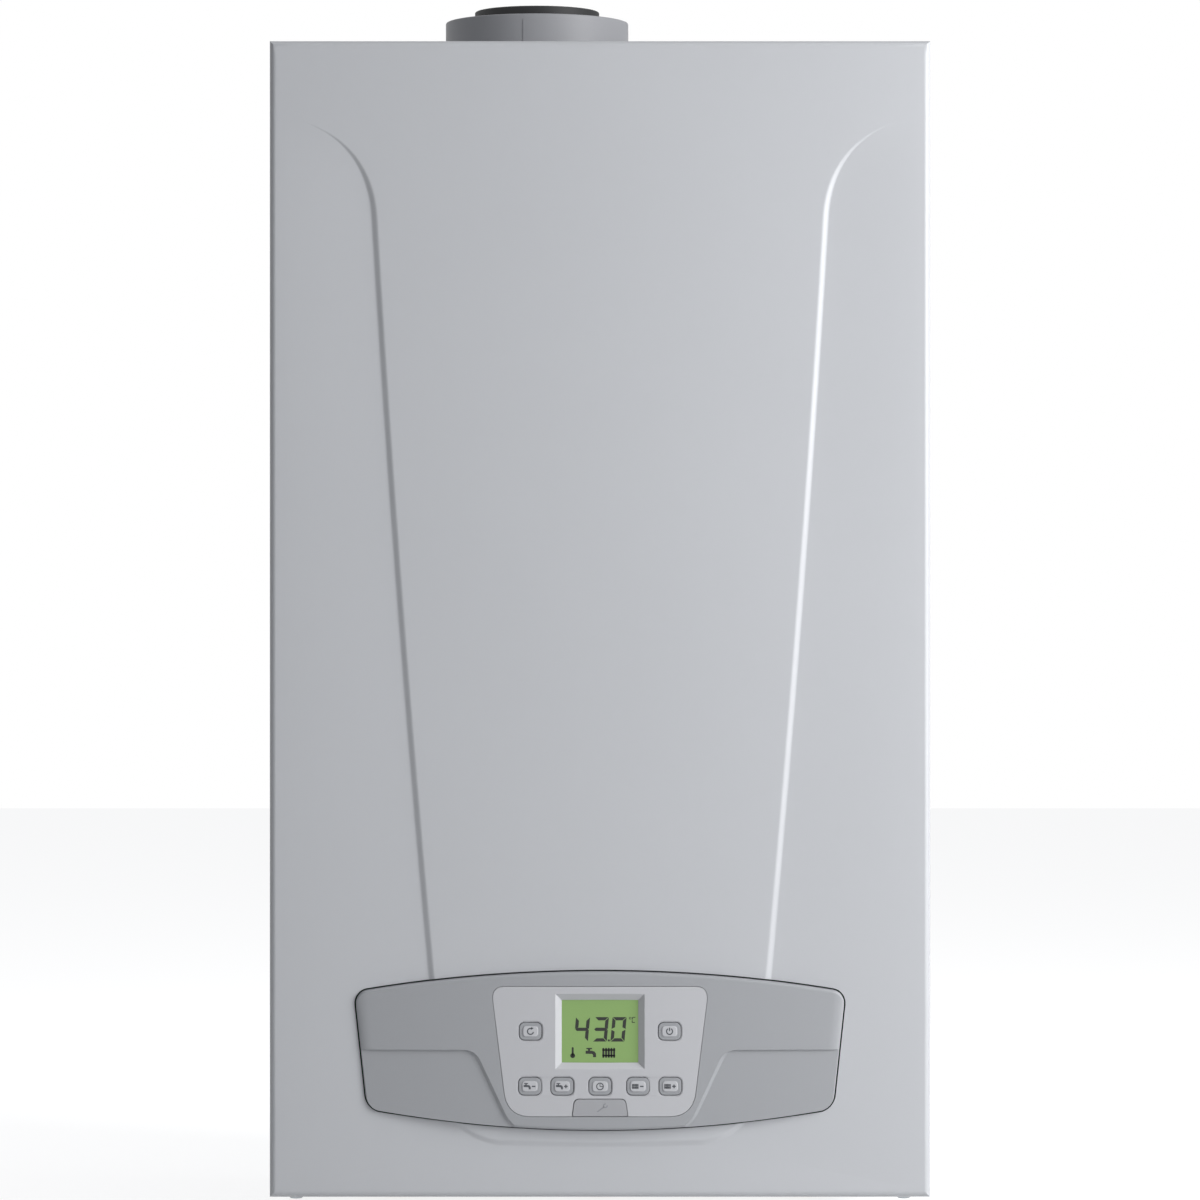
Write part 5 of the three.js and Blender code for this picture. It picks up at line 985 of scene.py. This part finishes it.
@dataclass
class Display:
    """The liquid crystal module: its body, the digits and the three pictograms printed on it."""

    keypad: Keypad
    reading: tuple[str, ...] = ("4", "3", "0")
    digit_x: tuple[float, ...] = (-10.9, 0.5, 11.2)
    digit_size: Point = (8.5, 14.8)
    digit_z: float = -248.0
    stroke: float = 2.0
    slant: float = 0.09
    ink: float = 0.05
    icon_z: float = -262.2

    @property
    def front(self) -> float:
        """Where the glass's front lies, in millimetres."""
        return self.keypad.fascia.crown_y + self.keypad.thick + 0.3

    def segment(self, name: str, size: Point) -> list[Point]:
        """A segment's outline about the digit's middle, before the slant.

        Args:
            name: the segment's letter, a to g.
            size: the digit's width and height.

        Returns:
            Its corners.
        """
        half, tall = size[0] / 2, size[1] / 2
        thick = self.stroke * size[1] / self.digit_size[1]
        inner = thick * 0.12
        flat = {"a": (tall, -1), "g": (0.0, 0), "d": (-tall, 1)}
        if name in flat:
            edge, turn = flat[name]
            if turn == 0:
                mid = thick / 2
                return [(-half + inner + mid, -mid), (half - inner - mid, -mid), (half - inner, 0.0),
                        (half - inner - mid, mid), (-half + inner + mid, mid), (-half + inner, 0.0)]
            return [(-half + inner, edge), (half - inner, edge), (half - inner - thick, edge + turn * thick),
                    (-half + inner + thick, edge + turn * thick)]
        side = 1 if name in "bc" else -1
        level = 1 if name in "bf" else -1
        outer, near = side * half, side * (half - thick)
        return [(outer, level * inner), (outer, level * (tall - inner)),
                (near, level * (tall - inner - thick)), (near, level * (inner + thick * 0.5))]

    def digit(self, sign: str, centre: Point, size: Point) -> list[list[Point]]:
        """The slanted segments of one sign."""
        shapes = []
        for name in SEGMENTS[sign]:
            corners = self.segment(name, size)
            shapes.append([(centre[0] + x + self.slant * z, centre[1] + z) for x, z in corners])
        return shapes

    def radiator(self, x: float, z: float, scale: float = 1.0) -> list[list[Point]]:
        """A radiator pictogram: upright bars on two rails."""
        bars = [rounded(1.0 * scale, 5 * scale, 0.3 * scale, (x + (i - 2) * 1.35 * scale, z), 2)
                for i in range(5)]
        rails = [rounded(6.6 * scale, 0.8 * scale, 0.2 * scale, (x, z + level * 1.4 * scale), 2)
                 for level in (-1, 1)]
        return [*bars, *rails]

    def tap(self, x: float, z: float, scale: float = 1.0) -> list[list[Point]]:
        """A tap pictogram: body with a spout turned down, stem and handle."""
        body = [(-2.7, -0.5), (-2.7, 1.1), (-0.4, 1.1), (0.7, 1.1), (2.0, 0.7), (2.8, -0.4), (2.8, -2.3),
                (1.2, -2.3), (1.2, -1.1), (0.7, -0.6), (-0.4, -0.6)]
        stem = [(-1.4, 1.0), (-0.3, 1.0), (-0.3, 2.0), (-1.4, 2.0)]
        handle = [(-2.3, 1.9), (0.7, 1.9), (0.7, 2.6), (-2.3, 2.6)]
        return [[(x + u * scale, z + w * scale) for u, w in shape] for shape in (body, stem, handle)]

    def thermometer(self, x: float, z: float) -> list[list[Point]]:
        """A thermometer pictogram: a bulb under a tube."""
        bulb = [(x + 1.5 * math.cos(t), z - 1.7 + 1.5 * math.sin(t)) for t in
                (2 * math.pi * i / 16 for i in range(16))]
        return [bulb, rounded(1.2, 5.2, 0.5, (x, z + 0.8), 3)]

    def build(self) -> None:
        """Model the module and print its signs."""
        keypad = self.keypad
        body = copy_node("display_module")
        soften(body, 0.0004)
        shade(body)
        place(body, LCD_FIELD, "control", "lcd", "display_module")
        shapes = []
        for sign, x in zip(self.reading, self.digit_x):
            shapes += self.digit(sign, (x, self.digit_z), self.digit_size)
        point_x = (self.digit_x[1] + self.digit_x[2]) / 2 - 0.5
        shapes.append(rounded(1.2, 1.2, 0.2, (point_x, self.digit_z - self.digit_size[1] / 2 + 0.7), 2))
        shapes += self.digit("o", (18.2, self.digit_z + 6.2), (1.4, 2.4))
        shapes += self.digit("C", (20.4, self.digit_z + 5.7), (2.2, 3.6))
        shapes += self.thermometer(-16.5, self.icon_z)
        shapes += self.tap(-5.6, self.icon_z, 1.15)
        shapes += self.radiator(5.3, self.icon_z, 1.2)
        printed(shapes, self.front, self.ink, "display_signs", LCD_DARK, "control", "lcd")
        LOG.info("display shows %s over a window of %.1f mm", "".join(self.reading), 2 * keypad.window_half)


def printed(shapes: list[list[Point]], front: float, ink: float, name: str, finish: Finish, body: str,
            slot: str) -> bpy.types.Object:
    """Print flat shapes on a face that looks forward.

    Args:
        shapes: outlines in millimetres.
        front: the face's Y in millimetres.
        ink: how thick the print is.
        name: the piece's name.
        finish: the ink.
        body: the body that carries it.
        slot: the record's material slot.

    Returns:
        The print as one piece.
    """
    bm = bmesh.new()
    for shape in shapes:
        face = bm.faces.new([bm.verts.new(Vector((x, front - ink, z)) * MM) for x, z in shape])
        made = bmesh.ops.extrude_face_region(bm, geom=[face])["geom"]
        moved = [item for item in made if isinstance(item, bmesh.types.BMVert)]
        bmesh.ops.translate(bm, verts=moved, vec=(0, (ink + 0.02) * MM, 0))
    bmesh.ops.recalc_face_normals(bm, faces=bm.faces)
    obj = to_object(bm, name)
    return place(obj, finish, body, slot)


@dataclass
class KeyMarks:
    """Pictograms printed on the keys and on the service cap."""

    keypad: Keypad
    display: Display
    ink: float = 0.04

    def sign(self, plus: bool, x: float, z: float) -> list[list[Point]]:
        """A minus, or a plus made of it and two short uprights."""
        bar = rounded(2.2, 0.8, 0.15, (x, z), 2)
        if not plus:
            return [bar]
        uprights = [rounded(0.8, 0.7, 0.1, (x, z + level * 0.76), 2) for level in (-1, 1)]
        return [bar, *uprights]

    def shapes(self, name: str, x: float, z: float) -> list[list[Point]]:
        """The pictogram of one key."""
        if name.startswith("tap"):
            return [*self.display.tap(x - 1.6, z, 0.78), *self.sign(name.endswith("plus"), x + 2.3, z)]
        if name.startswith("radiator"):
            return [*self.display.radiator(x - 1.6, z, 0.6), *self.sign(name.endswith("plus"), x + 2.3, z)]
        if name == "reset":
            return [arc_band((x, z), 1.8, 0.75, 60, 350),
                    [(x + 0.4, z + 2.7), (x + 0.4, z + 0.9), (x + 2.0, z + 1.9)]]
        if name == "power":
            return [arc_band((x, z), 1.8, 0.75, 120, 420), rounded(0.75, 2.2, 0.2, (x, z + 1.2), 2)]
        return [arc_band((x, z), 2.0, 0.65, 0, 359), rounded(0.5, 1.7, 0.15, (x, z + 0.65), 2),
                rounded(1.5, 0.5, 0.15, (x + 0.95, z - 0.1), 2)]

    def build(self) -> None:
        """Print every key's pictogram."""
        for name, (x, z) in self.keypad.keys.items():
            printed(self.shapes(name, x, z), self.keypad.key_face(name), self.ink, f"mark_{name}",
                    PRINT_INK, f"key_{name}", "button_grey")
        x, z = 1.0, self.keypad.bottom + self.keypad.cap_height / 2
        spanner = [arc_band((x + 2.2, z + 1.3), 1.1, 0.7, 75, 375),
                   [(x - 3.0, z - 2.2), (x - 2.4, z - 2.7), (x + 1.7, z + 0.3), (x + 1.1, z + 0.9)]]
        printed(spanner, self.keypad.fascia.crown_y, self.ink, "mark_cap", FAINT_INK, "cap", "fascia_grey")


def arc_band(centre: Point, radius: float, width: float, start: float, end: float,
             steps: int = 24) -> list[Point]:
    """A band along an arc, as one outline.

    Args:
        centre: the arc's centre.
        radius: the band's middle radius.
        width: the band's width.
        start: where it starts, in degrees from +X.
        end: where it ends.
        steps: facets along it.

    Returns:
        Its corners.
    """
    turns = [math.radians(start + (end - start) * i / steps) for i in range(steps + 1)]
    outer = [(centre[0] + (radius + width / 2) * math.cos(t), centre[1] + (radius + width / 2) * math.sin(t))
             for t in turns]
    inner = [(centre[0] + (radius - width / 2) * math.cos(t), centre[1] + (radius - width / 2) * math.sin(t))
             for t in reversed(turns)]
    return [*outer, *inner]


def copy_node(node: str) -> bpy.types.Object:
    """A copy of a CAD node with its doubled corners merged and its flat faces made whole."""
    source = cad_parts[node]
    bm = bmesh.new()
    bm.from_mesh(source.data)
    bmesh.ops.remove_doubles(bm, verts=bm.verts, dist=2e-6)
    bmesh.ops.dissolve_limit(bm, angle_limit=math.radians(0.4), verts=bm.verts, edges=bm.edges)
    bmesh.ops.recalc_face_normals(bm, faces=bm.faces)
    return to_object(bm, f"{node}_dressed")


def barrel(radius: float, inner: float, back: float, front: float) -> list[Point]:
    """Section of the heat exchanger's drum: two rolled beads, and a flange at the front."""
    beads = []
    for middle in (-124.5, -181.5):
        beads += [(radius, middle + 9), (radius - 4, middle + 4),
                  (radius - 4, middle - 4), (radius, middle - 9)]
    return [(inner, back - 3), (inner, back), (radius - 6, back), (radius, back - 6), *beads,
            (radius, front + 7.2), (radius + 4, front + 7.2), (radius + 4, front), (inner, front)]


DRUM_AXIS = (-25, 95)
FAN_AXIS = (78, 268)
PUMP_AXIS = (124, -130)

# The round forms of turned pieces: the section in radius and y, and the axis's x and z. Outside, each
# is a fifth of a millimetre wider than the many-sided form of the CAD, which it takes in.
# No flat of the one lies in a flat of the other, so that the joined form is the same each time.
ROUNDS = {
    "heat_exchanger": (barrel(100.2, 91.5, -84.2, -228.1), DRUM_AXIS),
    "burner_door": ([(40, -228.4), (95.2, -228.4), (95.2, -236.4), (75.2, -236.4), (57.2, -245.4),
                     (40, -245.4)], DRUM_AXIS),
    "venturi": ([(27, -262.4), (34.2, -262.4), (34.2, -265.4), (30.2, -266.4), (30.2, -280.4),
                 (29.2, -281.4), (26, -281.4)], FAN_AXIS),
    "pump_motor": ([(20, -134.4), (44.2, -134.4), (44.2, -148.1), (40.2, -150.1), (40.2, -196.1),
                    (34.2, -202.1), (20, -202.1)], PUMP_AXIS),
}


def dress(node: str, finish: Finish, body: str, slot: str, width: float = 0.0008, angle: float = 40,
          segments: int = 2) -> bpy.types.Object:
    """Dress a CAD node: a copy with softened edges and its finish.

    Args:
        node: the CAD node.
        finish: its surface finish.
        body: the body that it rides on.
        slot: the record's material slot.
        width: width of the rounded edges in metres.
        angle: edges sharper than this are rounded.
        segments: facets across each rounding.

    Returns:
        The piece.
    """
    obj = copy_node(node)
    if node in ROUNDS:
        combine(obj, turned_y(*ROUNDS[node]), "UNION")
    if width:
        soften(obj, width, segments, angle)
    shade(obj, 34)
    return place(obj, finish, body, slot, node)


# ---------------------------------------------------------------- flue connection

@dataclass
class FlueTop:
    """The grey collar that takes the air pipe and the black socket that takes the flue pipe."""

    centre: Point = (-40.0, -135.0)
    pad_turns: Point = (-8.0, 39.5)
    pad_heights: Point = (353.0, 374.4)
    pad_rise: float = 0.35
    collar_radius: float = 58.0
    socket_radius: float = 39.5
    socket_top: float = 385.0
    ribs: int = 72
    rib_depth: float = 0.3
    web_from: float = 32.3
    web_to: float = 50.4

    def axis(self) -> Point:
        """The axis in metres."""
        return self.centre[0] * MM, self.centre[1] * MM

    def spun(self, profile: list[Point], name: str, steps: int = 128) -> bpy.types.Object:
        """Spin a (radius, height) profile in millimetres round the flue's axis."""
        return to_object(turned_z([(r * MM, z * MM) for r, z in profile], self.axis(), steps), name)

    def raised(self, outline: list[Point], low: float, high: float) -> bmesh.types.BMesh:
        """A flat (x, y) outline in millimetres drawn up between two heights."""
        bm = bmesh.new()
        face = bm.faces.new([bm.verts.new(Vector((x, y, low)) * MM) for x, y in outline])
        made = bmesh.ops.extrude_face_region(bm, geom=[face])["geom"]
        moved = [item for item in made if isinstance(item, bmesh.types.BMVert)]
        bmesh.ops.translate(bm, verts=moved, vec=(0, 0, (high - low) * MM))
        bmesh.ops.recalc_face_normals(bm, faces=bm.faces)
        return bm

    def collar(self) -> None:
        """Model the collar with the bare pad on its front."""
        wall = self.collar_radius
        collar = self.spun([
            (51, 338), (53, 338), (53, 350.3), (wall - 0.6, 350.3), (wall, 350.9), (wall, 377.1),
            (wall - 0.3, 377.8), (wall - 0.9, 378), (51.6, 378), (51, 377.4),
        ], "flue_collar_moulding")
        start, end = (turn - 90 for turn in self.pad_turns)
        pad = arc_band(self.centre, wall - 1 + self.pad_rise / 2, 2 + self.pad_rise, start, end, 20)
        combine(collar, self.raised(pad, *self.pad_heights), "UNION")
        soften(collar, 0.0002, 2, 50)
        shade(collar, 40)
        place(collar, COLLAR_PP, "chassis", "collar_grey", "flue_collar")

    def socket(self) -> None:
        """Model the socket with its ribbed rim and the three webs that hold it in the collar."""
        wall = self.socket_radius
        top = self.socket_top
        profile = [(30.3, 338), (33.3, 338), (33.3, 352), (wall, 356), (wall, top - 0.5), (wall - 0.5, top),
                   (30.8, top), (30.3, top - 0.5)]
        bm = turned_z([(r * MM, z * MM) for r, z in profile], self.axis(), 2 * self.ribs)
        centre = Vector((*self.axis(), 0))
        for corner in bm.verts:
            out = Vector((corner.co.x, corner.co.y, 0)) - centre
            step = round(math.atan2(out.y, out.x) / math.pi * self.ribs)
            if step % 2 and out.length > (wall - 1) * MM:
                corner.co -= out.normalized() * self.rib_depth * MM
        socket = to_object(bm, "flue_socket_moulding")
        for i in range(3):
            turn = 2 * math.pi * i / 3 + math.pi / 6
            along = Vector((math.cos(turn), math.sin(turn)))
            across = Vector((-along.y, along.x)) * 1.5
            corners = [along * self.web_from - across, along * self.web_to - across,
                       along * self.web_to + across, along * self.web_from + across]
            outline = [(self.centre[0] + v.x, self.centre[1] + v.y) for v in corners]
            combine(socket, self.raised(outline, 340, 350), "UNION")
        shade(socket, 24)
        place(socket, SOCKET_PP, "chassis", "black_plastic", "flue_socket")

    def build(self) -> None:
        """Model the collar and the socket, and dress the flue pipe."""
        self.collar()
        self.socket()
        dress("flue_pipe", STAINLESS, "chassis", "stainless", 0.0003)


# ---------------------------------------------------------------- body shell and inside

@dataclass(frozen=True)
class Dressing:
    """How one CAD node is dressed."""

    node: str
    finish: Finish
    body: str
    slot: str
    width: float = 0.0008
    angle: float = 40


SHELL = (
    Dressing("left_side_panel", POWDER_COAT, "chassis", "paint", 0.0004),
    Dressing("right_side_panel", POWDER_COAT, "chassis", "paint", 0.0004),
    Dressing("top_panel", POWDER_COAT, "chassis", "paint", 0.0004),
    Dressing("back_panel", GALVANISED, "chassis", "galvanised", 0.0003),
    Dressing("bottom_tray", GALVANISED, "chassis", "galvanised", 0.0003),
    Dressing("support_frame", GALVANISED, "chassis", "galvanised", 0.0004),
    Dressing("casing_screw_left", ZINC_PLATE, "casing", "zinc", 0.0003),
    Dressing("casing_screw_right", ZINC_PLATE, "casing", "zinc", 0.0003),
    Dressing("hinge_pin_left", ZINC_PLATE, "chassis", "zinc", 0.0003),
    Dressing("hinge_pin_right", ZINC_PLATE, "chassis", "zinc", 0.0003),
    Dressing("casing_gasket", EPDM, "chassis", "black_rubber", 0.0003),
)

CONTROL = (
    Dressing("control_box", GLASS_NYLON, "control", "grey_composite", 0.0006),
    Dressing("circuit_board", SOLDER_MASK, "control", "board_green", 0.0002),
    Dressing("cable_gland", EPDM, "control", "black_rubber", 0.0005),
)

INSIDE = (
    Dressing("heat_exchanger", STAINLESS, "chassis", "stainless", 0.0008),
    Dressing("burner_door", DIE_CAST, "chassis", "aluminium", 0.0010),
    Dressing("fan_volute", DIE_CAST, "chassis", "aluminium", 0.0010),
    Dressing("fan_wheel", BLACK_NYLON, "wheel", "black_plastic", 0.0003),
    Dressing("fan_motor", BLACK_NYLON, "chassis", "black_plastic", 0.0010),
    Dressing("venturi", DIE_CAST, "chassis", "aluminium", 0.0008),
    Dressing("gas_valve", DIE_CAST, "chassis", "aluminium", 0.0010),
    Dressing("gas_feed_pipe", COPPER, "chassis", "copper", 0.0, 60),
    Dressing("gas_inlet_pipe", COPPER, "chassis", "copper", 0.0, 60),
    Dressing("return_pipe", COPPER, "chassis", "copper", 0.0, 60),
    Dressing("flow_pipe", COPPER, "chassis", "copper", 0.0, 60),
    Dressing("expansion_pipe", COPPER, "chassis", "copper", 0.0, 60),
    Dressing("expansion_vessel", VESSEL_PAINT, "chassis", "vessel_red", 0.0),
    Dressing("ignition_transformer", BLACK_NYLON, "chassis", "black_plastic", 0.0010),
    Dressing("pump_motor", PUMP_COAT, "chassis", "pump_black", 0.0008),
    Dressing("return_group", GLASS_NYLON, "chassis", "grey_composite", 0.0012),
    Dressing("flow_group", GLASS_NYLON, "chassis", "grey_composite", 0.0012),
    Dressing("diverter_motor", BLACK_NYLON, "chassis", "black_plastic", 0.0010),
    Dressing("plate_heat_exchanger", STAINLESS, "chassis", "stainless", 0.0005),
    Dressing("air_vent", BRASS, "chassis", "brass", 0.0004),
    Dressing("safety_valve", BRASS, "chassis", "brass", 0.0005),
    Dressing("safety_valve_knob", VALVE_RED, "safety_knob", "valve_red", 0.0006),
    Dressing("filling_tap_knob", TAP_BLUE, "filling_knob", "tap_blue", 0.0006),
    Dressing("pressure_gauge", DIAL_WHITE, "chassis", "dial_white", 0.0005),
    Dressing("gauge_needle", BLACK_NYLON, "needle", "black_plastic", 0.0001),
    Dressing("condensate_trap", TRAP_PP, "chassis", "trap_white", 0.0006),
    Dressing("condensate_hose", GLASS_NYLON, "chassis", "grey_composite", 0.0, 60),
    Dressing("heating_flow_nipple", BRASS, "chassis", "brass", 0.0004),
    Dressing("hot_water_nipple", BRASS, "chassis", "brass", 0.0004),
    Dressing("cold_water_nipple", BRASS, "chassis", "brass", 0.0004),
    Dressing("heating_return_nipple", BRASS, "chassis", "brass", 0.0004),
)


@dataclass
class Group:
    """A group of CAD nodes that are dressed alike."""

    name: str
    dressings: tuple[Dressing, ...]

    def build(self) -> None:
        """Dress every node of the group."""
        for item in self.dressings:
            dress(item.node, item.finish, item.body, item.slot, item.width, item.angle)
        LOG.info("%s: %d pieces dressed", self.name, len(self.dressings))


# ---------------------------------------------------------------- studio

@dataclass
class Studio:
    """The photo studio: a white floor and backdrop, a camera with the photo's view, and soft lights."""

    front_y: float = -0.293
    distance: float = 3.08
    height: float = 0.0115
    view_mm: float = 726.0
    floor_z: float = -0.372
    floor_lift: float = 0.75
    world_level: float = 0.28

    def camera(self) -> None:
        """Place the camera straight in front, with a long lens."""
        data = bpy.data.cameras.new("photo_camera")
        data.sensor_width = 36
        data.lens = 36 * self.distance / (self.view_mm * MM)
        data.clip_end = 50
        camera = bpy.data.objects.new("photo_camera", data)
        camera.location = (0, self.front_y - self.distance, self.height)
        camera.rotation_euler = (math.pi / 2, 0, 0)
        bpy.context.scene.collection.objects.link(camera)
        bpy.context.scene.camera = camera

    def light(self, name: str, place_at: Vector, size: Point, power: float) -> None:
        """Hang one soft box that looks at the boiler's middle.

        Args:
            name: what the light is called.
            place_at: where it hangs.
            size: its width and height.
            power: its power in watts.
        """
        data = bpy.data.lights.new(name, "AREA")
        data.shape = "RECTANGLE"
        data.size, data.size_y = size
        data.energy = power
        light = bpy.data.objects.new(name, data)
        light.location = place_at
        aim = Vector((0, -0.15, 0)) - place_at
        light.rotation_euler = aim.to_track_quat("-Z", "Y").to_euler()
        bpy.context.scene.collection.objects.link(light)

    def white(self) -> bpy.types.Material:
        """Plain pale board that the camera sees as white, with shadows kept on it."""
        material = bpy.data.materials.new("studio_board_white")
        material.use_nodes = True
        tree = material.node_tree
        tree.nodes.clear()
        board = add_node(tree, "ShaderNodeBsdfDiffuse", {"Color": linear("#E6E6E6")})
        path = add_node(tree, "ShaderNodeLightPath")
        seen = self.seen(tree, path)
        lift = add_node(tree, "ShaderNodeMath", {"operation": "MULTIPLY", 1: self.floor_lift}, {0: seen})
        glow = add_node(tree, "ShaderNodeEmission", {"Color": linear("#FFFFFF")},
                        {"Strength": lift.outputs[0]})
        both = add_node(tree, "ShaderNodeAddShader", links={0: board.outputs["BSDF"], 1: glow.outputs[0]})
        add_node(tree, "ShaderNodeOutputMaterial", links={"Surface": both.outputs[0]})
        return material

    def seen(self, tree: bpy.types.NodeTree, path: bpy.types.Node) -> bpy.types.NodeSocket:
        """1 for rays that come from the camera, straight or by a mirror or through glass, else 0."""
        mirrored = add_node(tree, "ShaderNodeMath", {"operation": "MAXIMUM"}, {
            0: path.outputs["Is Camera Ray"], 1: path.outputs["Is Glossy Ray"]})
        through = add_node(tree, "ShaderNodeMath", {"operation": "MAXIMUM"}, {
            0: mirrored.outputs[0], 1: path.outputs["Is Transmission Ray"]})
        return through.outputs[0]

    def floor(self) -> None:
        """Lay the floor under the boiler."""
        bm = bmesh.new()
        bmesh.ops.create_grid(bm, x_segments=1, y_segments=1, size=6,
                              matrix=Matrix.Translation((0, 0, self.floor_z)))
        floor = to_object(bm, "studio_floor")
        floor.data.materials.append(self.white())

    def world(self) -> None:
        """Light the room evenly, with a backdrop that the camera sees as white."""
        world = bpy.data.worlds.new("studio_world")
        world.use_nodes = True
        tree = world.node_tree
        tree.nodes.clear()
        path = add_node(tree, "ShaderNodeLightPath")
        lit = add_node(tree, "ShaderNodeBackground",
                       {"Color": linear("#E6E8EC"), "Strength": self.world_level})
        seen = add_node(tree, "ShaderNodeBackground", {"Color": linear("#FFFFFF"), "Strength": 1.0})
        mixed = add_node(tree, "ShaderNodeMixShader", links={0: self.seen(tree, path),
                                                             1: lit.outputs[0], 2: seen.outputs[0]})
        add_node(tree, "ShaderNodeOutputWorld", links={"Surface": mixed.outputs[0]})
        bpy.context.scene.world = world

    def build(self) -> None:
        """Set the studio up."""
        bpy.context.scene.view_settings.view_transform = "Standard"
        self.world()
        self.floor()
        self.camera()
        self.light("soft_box_right", Vector((1.3, -1.04, 0.4)), (0.8, 1.2), 30)
        self.light("soft_box_top", Vector((0.3, -0.9, 2.4)), (2.0, 1.4), 8)


def main() -> None:
    """Build the boiler piece by piece, then the studio."""
    logging.basicConfig(level=logging.INFO, format="%(name)s: %(message)s")
    fascia = Fascia()
    keypad = Keypad(fascia)
    display = Display(keypad)
    FrontCasing().build(fascia)
    fascia.build(keypad)
    keypad.build()
    display.build()
    KeyMarks(keypad, display).build()
    FlueTop().build()
    for group in (Group("shell", SHELL), Group("control", CONTROL), Group("inside", INSIDE)):
        group.build()
    Studio().build()


if __name__ == "__main__":
    main()
